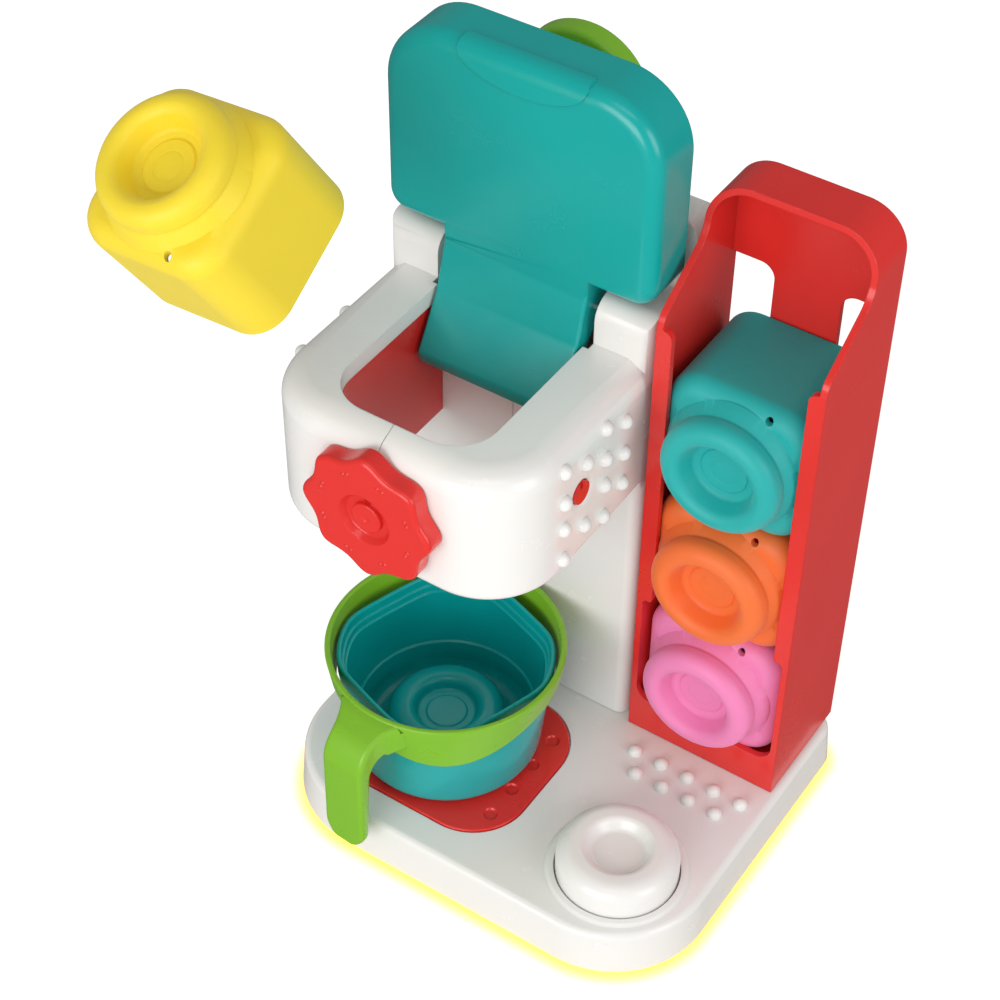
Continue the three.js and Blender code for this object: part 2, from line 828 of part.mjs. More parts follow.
// Push button with its switch and spring
const flangeTop = baseCeiling - gap;
const buttonDishFloor = buttonTop - buttonDishDepth;
const buttonInnerTop = buttonDishFloor - buttonWall;
const switchTop = plateThickness + gap + switchHeight + switchPlungerHeight;

function pushButton() {
  const flangeRadius = buttonRadius + buttonFlange;
  const flangeBottom = flangeTop - buttonFlangeThickness;
  const crestDrop = buttonRadius - buttonCrestRadius;
  const inner = buttonRadius - buttonWall;
  const stemBottom = switchTop + buttonTravel + gap;
  return turned([
    [0, stemBottom],
    [buttonStemRadius, stemBottom],
    [buttonStemRadius, buttonInnerTop],
    [inner - crestDrop / 2, buttonInnerTop],
    [inner, buttonInnerTop - crestDrop / 2],
    [inner, flangeBottom],
    [flangeRadius, flangeBottom],
    [flangeRadius, flangeTop],
    [buttonRadius, flangeTop],
    [buttonRadius, buttonTop - crestDrop],
    [buttonRadius - crestDrop * (1 - Math.cos(Math.PI / 6)), buttonTop - crestDrop / 2],
    [buttonRadius - crestDrop / 2, buttonTop - crestDrop * (1 - Math.cos(Math.PI / 6))],
    [buttonCrestRadius, buttonTop],
    [(buttonCrestRadius + buttonDishRadius) / 2, buttonTop - buttonDishDepth / 5],
    [buttonDishRadius, buttonTop - buttonDishDepth * 3 / 5],
    [buttonDishRadius * 3 / 4, buttonDishFloor],
    [0, buttonDishFloor],
  ], buttonX, buttonY, buttonSteps);
}

function buttonSwitch() {
  const bottom = plateThickness + gap;
  const half = switchWidth / 2;
  const body = block(buttonX - half, buttonX + half, buttonY - half, buttonY + half, bottom,
    bottom + switchHeight);
  const plunger = rod(switchPlungerRadius, buttonX, buttonY, bottom + switchHeight - gap,
    switchPlungerHeight + gap);
  return join(body, plunger);
}

// A compression spring, wound as one unbroken wire
class Coil extends THREE.Curve {
  constructor(radius, low, high, turns) {
    super();
    Object.assign(this, { radius, low, high, turns });
  }

  getPoint(t) {
    const angle = 2 * Math.PI * this.turns * t;
    const z = this.low + (this.high - this.low) * t;
    return new THREE.Vector3(this.radius * Math.cos(angle), this.radius * Math.sin(angle), z);
  }
}

function buttonSpring() {
  const low = springSeatHeight + gap + springWire;
  const high = buttonInnerTop - gap - springWire;
  const path = new Coil(springRadius, low, high, springTurns);
  const wire = new THREE.Shape(circle(springWire, wireSides));
  const steps = springTurns * coilSteps;
  const geometry = new THREE.ExtrudeGeometry(wire, { steps, extrudePath: path, bevelEnabled: false });
  return geometry.translate(buttonX, buttonY, 0);
}

function dripPlate() {
  const top = baseHeight + dripProud;
  const plate = loft([
    level(dripOutline(gap), baseHeight - dripSunk + gap),
    level(dripOutline(gap), top - dripProud),
    level(dripOutline(gap + dripProud), top),
  ]);
  const dimples = [];
  for (let i = 0; i < dimpleCount; i += 1) {
    const y = dripY + (i - (dimpleCount - 1) / 2) * dimplePitch;
    const side = dripWidth / 2 - dimpleInset;
    [-side, side].forEach((x) => dimples.push(turned([
      [0, top - dimpleDepth],
      [dimpleRadius / 2, top - dimpleDepth],
      [dimpleRadius, top],
      [dimpleRadius, top + overrun],
      [0, top + overrun],
    ], dripX + x, y, smallSteps)));
  }
  return cut(plate, ...dimples);
}

// Tower: the outside of head, column, hinge posts and rear upstand
const sideBumpShares = [
  [-0.95, [-1.6, -0.55, 0.35, 1.38]],
  [0.08, [-1.16, 0.96]],
  [1.09, [-1.61, -0.52, 0.38, 1.39]],
  [2.05, [-1.13, -0.09, 0.98]],
];

function headRings(wall) {
  const rear = wall ? columnFront : columnFront + towerWall / 2;
  const outline = (inset) => plan(towerLeft, towerRight, headFront, rear + inset, headFrontRadius,
    weld, inset);
  const rings = [];
  for (let i = 0; i <= edgeSteps; i += 1) {
    const angle = Math.PI / 2 * i / edgeSteps;
    const inset = headBottomRadius * (1 - Math.sin(angle));
    rings.push(level(outline(inset + wall), headBottom + wall + headBottomRadius * (1 - Math.cos(angle))));
  }
  for (let i = 0; i <= edgeSteps; i += 1) {
    const angle = shoulderTurnShare * Math.PI / 2 * i / edgeSteps;
    const inset = headTopRadius * (1 - Math.cos(angle));
    rings.push(level(outline(inset + wall), headShoulder - wall - headTopRadius * (1 - Math.sin(angle))));
  }
  rings.push(level(outline(mouthFrontInset + wall / 2), rimHeight - wall));
  return rings;
}

function towerProfile(wall) {
  const footZ = columnBottom - (wall ? overrun : 0);
  const upstandFoot = columnRear - upstandFootDepth;
  const upstandTop = columnRear - upstandTopDepth;
  const roof = hingeZ + postRadius - wall;
  return rounded([
    [columnFront + wall, footZ, 0],
    [columnRear - wall, footZ, 0],
    [columnRear - wall, upstandHeight - wall, upstandRadius],
    [upstandTop + wall, upstandHeight - wall, upstandRadius],
    [upstandFoot + wall, roof, upstandRadius],
    [columnFront + wall, roof, postRadius - wall],
  ]);
}

function towerFront(wall) {
  const side = columnSideInset;
  const foot = columnBottom - (wall ? overrun : 0);
  return rounded([
    [towerLeft + side + wall, foot, 0],
    [towerRight - wall, foot, 0],
    [towerRight - wall, upstandHeight - wall, upstandSideRadius],
    [towerLeft + wall, upstandHeight - wall, upstandSideRadius],
    [towerLeft + wall, headBottom + wall, side / 2],
    [towerLeft + side + wall, headBottom - side / 2 + wall, side / 2],
  ]);
}

function towerColumn(wall) {
  const top = upstandHeight + overrun;
  const bottom = columnBottom - overrun;
  const radius = Math.max(columnCornerRadius - wall, leastRadius);
  const corners = prism(plan(towerLeft + wall, towerRight - wall, columnFront + wall,
    columnRear - wall, radius, radius),
    bottom, top);
  return common(
    prism(towerProfile(wall), towerLeft - overrun, towerRight + overrun, 'x'),
    prism(towerFront(wall), columnFront - overrun, columnRear + overrun, 'y'),
    corners,
  );
}

// How far the head's side has drawn in at one height, on its rounded shoulder
function shoulderInset(z) {
  const start = headShoulder - headTopRadius;
  const rise = THREE.MathUtils.clamp((z - start) / headTopRadius, 0, 1);
  return headTopRadius * (1 - Math.sqrt(1 - rise * rise));
}

function sideBumps() {
  const bumps = [];
  sideBumpShares.forEach(([shareY, heights]) => heights.forEach((shareZ) => {
    const z = windowHeight + shareZ * sideBumpPitchZ;
    const inset = shoulderInset(z);
    [towerLeft + inset, towerRight - inset].forEach((x) => {
      bumps.push(ball(bumpRadius, x, windowY + shareY * sideBumpPitchY, z));
    });
  }));
  return bumps;
}

function sideWindows() {
  const cuts = [];
  [1, -1].forEach((side) => {
    const face = side > 0 ? towerRight : towerLeft;
    const dish = new THREE.CylinderGeometry(windowRadius, pinRadius + gap, windowDish, turnSteps);
    dish.rotateZ(-side * Math.PI / 2).translate(face - side * windowDish / 2 + side * weld, windowY,
      windowHeight);
    cuts.push(dish);
    const start = side > 0 ? face - towerWall - overrun : face - overrun;
    cuts.push(rod(pinRadius + gap, start, windowY, windowHeight, towerWall + 2 * overrun, 'x', turnSteps));
  });
  return cuts;
}

function mouthOutline(halfWidth, front, radius) {
  return plan(towerX - halfWidth, towerX + halfWidth, front, columnFront + overrun, radius, weld);
}

function tower() {
  const skin = join(towerColumn(0), loft(headRings(0)), ...sideBumps());
  const headHollow = loft(headRings(towerWall));
  const innerWalls = [-1, 1].map((side) => {
    const x = towerX + side * (slotHalf + innerWallThickness / 2);
    return block(x - innerWallThickness / 2, x + innerWallThickness / 2, columnFront, columnRear,
      slotBottom, upstandHeight);
  });
  const columnHollow = cut(towerColumn(towerWall), ...innerWalls);
  const linerFront = mouthFront + linerSetback - linerWall - gap;
  const upperMouth = prism(mouthOutline(mouthWidth / 2, mouthFront, mouthRadius), headShoulder - 2 * overrun,
    rimHeight + overrun);
  const lowerMouth = prism(mouthOutline(slotHalf, linerFront, mouthRadius + linerWall), headBottom - overrun,
    headBottom + 2 * overrun);
  const slot = block(towerX - slotHalf, towerX + slotHalf, columnFront - overrun,
    columnRear - upstandFootDepth - gap,
    slotBottom, upstandHeight);
  const knobBore = rod(shaftRadius + gap, towerX, headFront - overrun, knobHeight,
    2 * overrun + towerWall, 'y',
    turnSteps);
  return cut(skin, headHollow, columnHollow, upperMouth, lowerMouth, slot, knobBore, ...sideWindows());
}

function half(whole, side) {
  const near = towerX + side * gap / 2;
  const far = towerX + side * baseWidth;
  return common(whole, block(Math.min(near, far), Math.max(near, far), -baseDepth, baseDepth, 0,
    2 * upstandHeight));
}

// Red liner of the chamber, a U in plan, with a pin on each side
function chamberLiner() {
  const bottom = headBottom - linerDrop;
  const top = rimHeight - linerHeadroom;
  const front = mouthFront + linerSetback;
  const rear = columnFront - gap;
  const outer = plan(towerX - linerOuter, towerX + linerOuter, front - linerWall, rear,
    mouthRadius + linerWall, weld);
  const inner = plan(towerX - linerInner, towerX + linerInner, front, rear + overrun, mouthRadius, weld);
  return cut(prism(outer, bottom, top), prism(inner, bottom - overrun, top + overrun));
}

function chamberPin(side) {
  const near = towerX + side * (linerOuter + gap);
  const far = towerX + side * (towerWidth / 2 - windowDish / 2);
  return rod(pinRadius, Math.min(near, far), windowY, windowHeight, Math.abs(far - near), 'x', turnSteps);
}

// Knob with its shaft, click wheel and click spring
function lobed(outer, inner, lobes, steps) {
  return Array.from({ length: steps }, (_, i) => {
    const angle = 2 * Math.PI * i / steps;
    const radius = (outer + inner) / 2 + (outer - inner) / 2 * Math.cos(lobes * angle);
    return new THREE.Vector2(radius * Math.cos(angle), radius * Math.sin(angle));
  });
}

const knobBack = headFront - gap;
const knobFace = knobBack - knobThickness;

function ringAt(points, y) {
  return points.map((p) => new THREE.Vector3(towerX + p.x, y, knobHeight + p.y));
}

function knob() {
  const outline = (inset) => lobed(knobRadius - inset, knobValley - inset, knobLobes, knobLobes * lobeSteps);
  const body = loft([
    ringAt(outline(knobBevel / 2), knobBack),
    ringAt(outline(0), knobBack - knobBevel / 2),
    ringAt(outline(0), knobFace + knobBevel),
    ringAt(outline(knobBevel * (1 - Math.SQRT1_2)), knobFace + knobBevel * (1 - Math.SQRT1_2)),
    ringAt(outline(knobBevel), knobFace),
  ]);
  const recess = loft([
    ringAt(circle(knobRecessRadius * 3 / 4), knobFace + knobRecessDepth),
    ringAt(circle(knobRecessRadius), knobFace),
    ringAt(circle(knobRecessRadius), knobFace - overrun),
  ]);
  const hub = rod(knobHubRadius, towerX, knobFace + knobRecessDepth - knobHubHeight, knobHeight,
    knobHubHeight + gap, 'y', turnSteps);
  const socket = rod(shaftRadius + gap, towerX, knobBack - knobSocketDepth, knobHeight,
    knobSocketDepth + overrun, 'y',
    turnSteps);
  return cut(join(cut(body, recess), hub), socket);
}

const shaftFront = knobBack - knobSocketDepth + gap;
const wheelFront = headFront + towerWall + 2 * gap;
const shaftRear = wheelFront + clickWheelThickness + 2 * gap;

function knobShaft() {
  return rod(shaftRadius, towerX, shaftFront, knobHeight, shaftRear - shaftFront, 'y', turnSteps);
}

function clickWheel() {
  const outline = lobed(clickWheelRadius, clickWheelValley, clickWheelTeeth, clickWheelTeeth * toothSteps);
  const wheel = loft([ringAt(outline, wheelFront + clickWheelThickness), ringAt(outline, wheelFront)]);
  const bore = rod(shaftRadius + gap, towerX, wheelFront - overrun, knobHeight,
    2 * overrun + clickWheelThickness, 'y',
    turnSteps);
  return cut(wheel, bore);
}

function clickSpring() {
  const low = knobHeight + clickWheelRadius + gap;
  const front = headFront + towerWall + gap;
  return block(towerX + gap, towerX + clickSpringHalfLength, front, front + clickWheelThickness, low,
    low + clickSpringThickness);
}

function knobScrew() {
  return rod(screwHeadRadius, towerX, shaftRear + gap, knobHeight, screwHeadHeight / 2, 'y');
}

// Lid: a shell with the pushing tongue, and a panel that closes its outside
function lidOutline(inset) {
  const top = Math.max(lidTopRadius - inset, leastRadius);
  const bottom = Math.max(lidBottomRadius - inset, leastRadius);
  return rounded([
    [towerLeft + inset, lidBottom + inset, bottom],
    [towerRight - inset, lidBottom + inset, bottom],
    [towerRight - inset, lidTop - inset, top],
    [towerLeft + inset, lidTop - inset, top],
  ]);
}

function upright(points, y) {
  return points.map((p) => new THREE.Vector3(p.x, y, p.y));
}

function lidSkin(wall) {
  const rings = [upright(lidOutline(wall), wall ? lidRear + overrun : lidRear)];
  for (let i = 0; i <= lidEdgeSteps; i += 1) {
    const angle = Math.PI / 2 * i / lidEdgeSteps;
    const radius = lidEdgeRadius - wall;
    rings.push(upright(lidOutline(wall + radius * (1 - Math.cos(angle))),
      lidFront + wall + radius * (1 - Math.sin(angle))));
  }
  return loft(rings);
}

// A point on the tongue, in shares of its reach, below and in front of the hinge
function tonguePoint([shareY, shareZ], radius) {
  return [hingeY - shareY * tongueReach, hingeZ - shareZ * tongueReach, radius];
}

function tongueProfile() {
  const slope = lidFront - postRadius / 3;
  const barrel = hingeBarrelRadius;
  return rounded([
    [lidFront + lidEdgeRadius / 4, lidBottom + lidWall, 0],
    [lidFront + lidEdgeRadius / 4, lidBottom - lidBottomRadius / 2, tongueFootRadius],
    tonguePoint(tongueBellyShares, tongueBellyRadius),
    tonguePoint(tongueNoseShares, tongueNoseRadius),
    tonguePoint(tongueTipShares, tongueTipRadius),
    tonguePoint(tongueHeelShares, tongueHeelRadius),
    tonguePoint(tongueBackShares, tongueBackRadius),
    [hingeY - barrel / 2, hingeZ - barrel * barrelDropShare, tongueNeckRadius],
    [hingeY + barrel, hingeZ - barrel, barrel * barrelCornerShare],
    [hingeY + barrel, hingeZ + barrel, tongueNeckRadius],
    [slope + barrel * barrelReachShare, lidBottom + lidWall, 0],
  ], tongueSteps);
}

function lidShell() {
  const halfTongue = tongueWidth / 2;
  const tongue = prism(tongueProfile(), towerX - halfTongue, towerX + halfTongue, 'x');
  const rimSeat = lidPanelThickness + gap;
  const ledge = prism(lidOutline(lidWall / 2), lidRear - rimSeat, lidRear + overrun, 'y');
  const shell = cut(lidSkin(0), lidSkin(lidWall), ledge);
  const bores = [-1, 1].map((side) => {
    const start = towerX + side * halfTongue;
    const length = hingePinLength;
    return rod(hingePinRadius + gap, side > 0 ? start - length : start - overrun, hingeY, hingeZ,
      length + overrun, 'x');
  });
  return cut(join(shell, tongue), ...bores);
}

function lidTopPanel() {
  const inset = lidWall / 2 + gap;
  const front = lidRear - lidPanelThickness;
  return loft([
    upright(lidOutline(inset + lidTopRadius / 3), lidRear + lidPanelDome),
    upright(lidOutline(inset + lidEdgeRadius / 2), lidRear + lidPanelDome * lidPanelStepShare),
    upright(lidOutline(inset), lidRear),
    upright(lidOutline(inset), front),
  ]);
}

function lidHingePin(side) {
  const inner = towerX + side * (tongueWidth / 2 - hingePinLength + 2 * gap);
  const outer = towerX + side * (slotHalf + innerWallThickness + hingePinRadius);
  return rod(hingePinRadius, Math.min(inner, outer), hingeY, hingeZ, Math.abs(outer - inner), 'x');
}

function hingePinBores() {
  return [-1, 1].map((side) => {
    const near = towerX + side * (slotHalf - overrun / 2);
    const far = towerX + side * (slotHalf + innerWallThickness + overrun);
    return rod(hingePinRadius + gap, Math.min(near, far), hingeY, hingeZ, Math.abs(far - near), 'x');
  });
}

// Carry handle: an arch whose legs pass into the upstand
const handleY = columnRear - upstandTopDepth / 2;
const handleFoot = upstandHeight - handleTail;
const handleTopZ = upstandHeight + handleRise;

function handleOutline(inset) {
  const radius = handleOuterRadius - inset;
  return rounded([
    [towerX - radius, handleFoot, 0],
    [towerX + radius, handleFoot, 0],
    [towerX + radius, handleTopZ - inset, radius - gap],
    [towerX - radius, handleTopZ - inset, radius - gap],
  ], handleSteps);
}

function carryHandle() {
  const front = handleY - handleDepth / 2;
  const rear = handleY + handleDepth / 2;
  const arch = prism(handleOutline(0), front, rear, 'y');
  const span = handleOuterRadius - handleBar;
  const inside = prism(rounded([
    [towerX - span, upstandHeight - towerWall - upstandRadius, 0],
    [towerX + span, upstandHeight - towerWall - upstandRadius, 0],
    [towerX + span, handleTopZ - handleBar, span - gap],
    [towerX - span, handleTopZ - handleBar, span - gap],
  ], handleSteps), front - overrun, rear + overrun, 'y');
  return cut(arch, inside);
}

function handleSlots() {
  return [-1, 1].map((side) => {
    const near = towerX + side * (handleOuterRadius - handleBar - gap);
    const far = towerX + side * (handleOuterRadius + gap);
    return block(Math.min(near, far), Math.max(near, far), handleY - handleDepth / 2 - gap,
      handleY + handleDepth / 2 + gap, handleFoot - gap, upstandHeight + overrun);
  });
}

// Pod rack
function rackOutline(inset, floor) {
  const halfWidth = rackWidth / 2 - inset;
  const radius = rackTopRadius - inset;
  return rounded([
    [rackX - halfWidth, floor, 0],
    [rackX + halfWidth, floor, 0],
    [rackX + halfWidth, rackHeight - inset, radius],
    [rackX - halfWidth, rackHeight - inset, radius],
  ]);
}

function rackSide() {
  const rise = rackHeight - rackFrontTop;
  const front = rackSideShares.map(([shareY, shareZ]) => {
    return [rackFront + shareY * rackDepth, rackFrontTop + shareZ * rise, 0];
  });
  return rounded([
    ...front,
    [rackRear, rackHeight, 0],
    [rackRear, rackBottom, 0],
    [rackFront, rackBottom, 0],
  ]);
}

function rackWindow(side) {
  const outer = side > 0 ? rackInner : -rackInner;
  const inner = outer - side * rackWindowWidth;
  const low = Math.min(outer, inner);
  const high = Math.max(outer, inner);
  return prism(rounded([
    [rackX + low, rackWindowBottom, rackWindowOuterRadius],
    [rackX + high, rackWindowBottom, rackWindowOuterRadius],
    [rackX + high, rackWindowTop, side > 0 ? rackWindowOuterRadius : rackWindowRadius],
    [rackX + low, rackWindowTop, side > 0 ? rackWindowRadius : rackWindowOuterRadius],
  ]), rackRear - rackFloorThickness - gap, rackRear + overrun, 'y');
}

function podRack() {
  const wallFront = rackFront + rackWall;
  const wallRear = rackRear - rackFloorThickness;
  const body = common(
    prism(rackOutline(0, rackBottom), rackFront - overrun, rackRear, 'y'),
    prism(rackSide(), rackX - rackWidth, rackX + rackWidth, 'x'),
  );
  const channel = prism(rackOutline(rackWall, rackFloor), wallFront, wallRear, 'y');
  const mouthHalf = rackWidth / 2 - rackFlangeWidth;
  const upperMouth = block(rackX - mouthHalf, rackX + mouthHalf, rackFront - overrun, wallFront + gap,
    rackLip,
    rackHeight - rackTopRadius);
  const archMouth = prism(rackOutline(rackWall, rackFrontTop), rackFront - overrun, wallFront + gap, 'y');
  const lowerMouth = block(rackX - rackInner, rackX + rackInner, rackFront - overrun, wallFront + gap,
    rackLip,
    rackFlangeBottom);
  const under = block(rackX - rackInner, rackX + rackInner, wallFront, wallRear, rackBottom - overrun,
    rackFloor - rackFloorThickness);
  const bosses = rackScrewShares.map(rackScrewPoint).map(([x, y]) => {
    return rod(bossRadius, x, y, rackBottom, rackFloor - rackFloorThickness - rackBottom + gap);
  });
  const pilots = rackScrewShares.map(rackScrewPoint).map(([x, y]) => {
    return rod(screwRadius + gap, x, y, rackBottom - overrun, screwLength + overrun - baseTopThickness + gap);
  });
  const open = cut(body, channel, upperMouth, archMouth, lowerMouth, under, rackWindow(1), rackWindow(-1));
  return cut(join(open, ...bosses), ...pilots);
}

// Soft pods: built with the ring up and the open end down, ring front at zero.
// The rounded square and the round ring share one set of directions, with points where the corners begin.
const podCornerStart = Math.atan2(podHalf - podCornerRadius, podHalf);
const podCornerSpan = Math.PI / 2 - 2 * podCornerStart;
const podCornerShares = [0, 1 / 3, 2 / 3, 1];
const podQuarter = [0, podCornerStart / 2,
  ...podCornerShares.map((share) => podCornerStart + podCornerSpan * share),
  podCornerStart + podCornerSpan + podCornerStart / 2];
const podDirections = [0, 1, 2, 3].flatMap((i) => podQuarter.map((angle) => angle + Math.PI / 2 * i));

// How far the rounded square's edge is from its middle in one direction
function podReach(angle, halfSize, radius) {
  const u = Math.abs(Math.cos(angle));
  const v = Math.abs(Math.sin(angle));
  const core = halfSize - radius;
  const straight = halfSize / Math.max(u, v);
  if (straight * Math.min(u, v) <= core) {
    return straight;
  }
  const along = core * (u + v);
  return along + Math.sqrt(Math.max(along * along - 2 * core * core + radius * radius, 0));
}

function podRing(distance, z) {
  return podDirections.map((angle) => {
    const radius = distance(angle);
    return new THREE.Vector3(radius * Math.cos(angle), radius * Math.sin(angle), z);
  });
}

function podSquare(inset, z) {
  return podRing((angle) => podReach(angle, podHalf - inset, Math.max(podCornerRadius - inset,
    leastRadius)), z);
}

function podCircle(radius, z) {
  return podRing(() => radius, z);
}

function podBody(ventX) {
  const ceiling = -podShoulder - podWall;
  const tube = podRingTube;
  const fold = Math.SQRT1_2;
  const shell = loft([
    podSquare(podWall + podFillet * podInnerFoldShare, ceiling),
    podSquare(podWall, ceiling - podFillet * podInnerFoldShare),
    podSquare(podWall, -podLength),
    podSquare(0, -podLength),
    podSquare(0, -podShoulder - podFillet),
    podSquare(podFillet * podArcShare, -podShoulder - podFillet / 2),
    podSquare(podFillet / 2, -podShoulder - podFillet * podArcShare),
    podCircle(podRingRadius + tube, -podShoulder),
    podCircle(podRingRadius + tube, -tube),
    podCircle(podRingRadius + tube * fold, -tube * (1 - fold)),
    podCircle(podRingRadius, 0),
    podCircle(podRingRadius - tube * fold, -tube * (1 - fold)),
    podCircle(podRingRadius - tube, -tube),
    podCircle(podRingRadius - tube * podDishShare, -podDishDepth),
  ]);
  const vent = rod(podVentRadius, ventX, podVentZ, -podLength / 2, podLength, 'z');
  return cut(shell, vent);
}

function placePods() {
  const colours = [
    ['pod_pink', materials.softPink],
    ['pod_orange', materials.softOrange],
    ['pod_teal', materials.softTeal],
  ];
  colours.forEach(([name, material], i) => {
    const z = rackFloor + gap + podHalf + i * (podSize + gap);
    const pod = add(name, podBody(podVentX), material);
    pod.rotation.x = Math.PI / 2;
    pod.position.set(rackX, podRear - podLength, z);
  });
  const loose = add('pod_yellow', podBody(-podVentX), materials.softYellow);
  const radians = [loosePodTilt, loosePodTurn, loosePodRoll].map(THREE.MathUtils.degToRad);
  loose.rotation.set(radians[0], radians[1], radians[2]);
  loose.position.set(loosePodX, loosePodY, loosePodZ);
}

// Cup: a rounded square mouth that turns round lower down, with a ring on its floor
function cupOutline(radius, flat) {
  const turn = THREE.MathUtils.degToRad(cupTurn);
  return circle(1, cupSteps).map((p) => {
    const angle = p.angle();
    const share = 1 - flat * (1 + Math.cos(cupFlats * (angle + turn))) / 2;
    return new THREE.Vector2(Math.cos(angle), Math.sin(angle)).multiplyScalar(radius * share);
  });
}

function cup() {
  const floor = cupBottom + cupWall;
  const foot = cupFootRadius;
  const slope = (cupRadius - cupFootRadius) / (cupRim - cupBottom);
  const middle = cupBottom + (cupRim - cupBottom) / 2;
  const ring = cupRingRadius;
  const tube = cupRingTube;
  const rings = [
    [foot - cupFillet, 0, cupBottom],
    [foot - cupFillet * cupFootInShare, 0, cupBottom + cupFillet * cupFootUpShare],
    [foot + cupFillet * slope, 0, cupBottom + cupFillet],
    [foot + (middle - cupBottom) * slope, 0, middle],
    [cupRadius, cupFlatShare, cupRim],
    [cupRadius - cupWall, cupFlatShare, cupRim],
    [foot + (middle - cupBottom) * slope - cupWall, 0, middle],
    [foot - cupWall, 0, floor + cupFillet],
    [foot - cupFillet * cupFloorInShare, 0, floor + cupFillet * cupFootUpShare],
    [foot - cupFillet * cupFloorStepShare, 0, floor],
    [ring + tube, 0, floor],
    [ring + tube * cupTubeShare, 0, floor + tube * cupTubeShare],
    [ring, 0, floor + tube],
    [ring - tube * cupTubeShare, 0, floor + tube * cupTubeShare],
    [ring - tube, 0, floor + tube * cupTubeLowShare],
  ];
  return loft(rings.map(([radius, flat, z]) => level(cupOutline(radius, flat), z)));
}

// Holder: a tapered band with a wavy lower edge, and a hanging handle
function holderEdge(angle) {
  return holderMiddle - holderWave * Math.cos(holderWaves * (angle - THREE.MathUtils.degToRad(holderLow)));
}

function holderRing(inset, top) {
  return circle(1, holderSteps).map((p) => {
    const angle = p.angle();
    const z = top ? holderTop : holderEdge(angle);
    const radius = holderRadius - inset - (holderTop - z) / (holderTop - holderMiddle) * holderTaper;
    return new THREE.Vector3(radius * Math.cos(angle), radius * Math.sin(angle), z);
  });
}

function grabProfile() {
  const root = -holderRadius + holderWall / 2;
  const reach = -holderRadius - grabReach;
  return rounded([
    [root, holderTop, 0],
    [root, holderTop - 2 * grabThickness, 0],
    [reach + grabThickness, holderTop - grabRootShare * grabThickness, grabRadius / 2],
    [reach + grabThickness * grabRootShare, grabBottom, grabTipRadius],
    [reach + grabThickness * grabTipShare, grabBottom, grabTipRadius],
    [reach, holderTop - grabThickness / 4, grabRadius],
  ]);
}

function cupHolder() {
  const band = loft([holderRing(0, false), holderRing(0, true), holderRing(holderWall, true),
    holderRing(holderWall, false)], true);
  const halfGrab = grabWidth / 2;
  const front = prism(rounded([
    [-halfGrab, grabBottom, halfGrab - gap],
    [halfGrab, grabBottom, halfGrab - gap],
    [halfGrab, holderTop + overrun, 0],
    [-halfGrab, holderTop + overrun, 0],
  ]), -2 * holderRadius, 0, 'y');
  const strap = common(prism(grabProfile(), -halfGrab, halfGrab, 'x'), front);
  return join(band, solid(strap).rotate(0, 0, grabDirection));
}

// The whole machine
function addSet(name, places, make, material) {
  places.forEach((place, i) => add(`${name}_${i + 1}`, make(place), material));
}

function assembleBase() {
  add('base_shell', baseShell(), materials.white);
  add('light_ring', lightRing(), materials.glow);
  add('base_bottom_plate', bottomPlate(), materials.white);
  addSet('foot', footShares.map(basePoint), foot, materials.dark);
  addSet('bottom_screw', bottomScrewShares.map(basePoint), bottomScrew, materials.steel);
  addSet('tower_screw', towerScrewShares.map(towerScrewPoint), upperScrew, materials.steel);
  addSet('rack_screw', rackScrewShares.map(rackScrewPoint), upperScrew, materials.steel);
  add('battery_box', batteryBox(), materials.dark);
  addSet('battery', Array.from({ length: batteryCount }, (_, i) => i), battery, materials.battery);
  addSet('battery_contact', [-1, 1], batteryContact, materials.steel);
  add('battery_door', batteryDoor(), materials.white);
  add('battery_door_screw', batteryDoorScrew(), materials.steel);
  add('circuit_board', circuitBoard(), materials.board);
  addSet('led', ledPlaces, led, materials.glow);
  add('speaker', speaker(), materials.dark);
  add('push_button', pushButton(), materials.white);
  add('button_switch', buttonSwitch(), materials.dark);
  add('button_spring', buttonSpring(), materials.steel);
  add('drip_plate', dripPlate(), materials.red);
}

function assembleTower() {
  const bossBottom = columnBottom;
  const points = towerScrewShares.map(towerScrewPoint);
  const bosses = points.map(([x, y]) => rod(bossRadius, x, y, bossBottom, screwLength + baseTopThickness));
  const ribs = points.map(([x, y]) => {
    const side = x < towerX ? towerLeft + columnSideInset + gap : towerRight - gap;
    return block(Math.min(x, side), Math.max(x, side), y - screwRadius, y + screwRadius, bossBottom,
      bossBottom + screwLength);
  });
  const pilots = points.map(([x, y]) => {
    return rod(screwRadius + gap, x, y, bossBottom - overrun, screwLength + overrun - baseTopThickness + gap);
  });
  const whole = cut(join(tower(), ...bosses, ...ribs), ...pilots, ...hingePinBores(), ...handleSlots());
  add('tower_left_half', half(whole, -1), materials.white);
  add('tower_right_half', half(whole, 1), materials.white);
  add('chamber_liner', chamberLiner(), materials.red);
  addSet('chamber_pin', [-1, 1], chamberPin, materials.red);
  add('carry_handle', carryHandle(), materials.green);
  add('click_spring', clickSpring(), materials.steel);
  addSet('lid_hinge_pin', [-1, 1], lidHingePin, materials.steel);
}

function assembleMovers() {
  add('knob', knob(), materials.red);
  add('knob_shaft', knobShaft(), materials.red);
  add('click_wheel', clickWheel(), materials.white);
  add('knob_screw', knobScrew(), materials.steel);
  add('lid_shell', lidShell(), materials.teal);
  add('lid_top_panel', lidTopPanel(), materials.teal);
  add('cup', cup(), materials.cupTeal).position.set(towerX, cupY, 0);
  add('cup_holder', cupHolder(), materials.green).position.set(towerX, cupY, 0);
  placePods();
}

assembleBase();
assembleTower();
add('pod_rack', podRack(), materials.red);
assembleMovers();

export default machine;
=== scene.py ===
import math

import bmesh
import bpy
from mathutils import Matrix, Vector


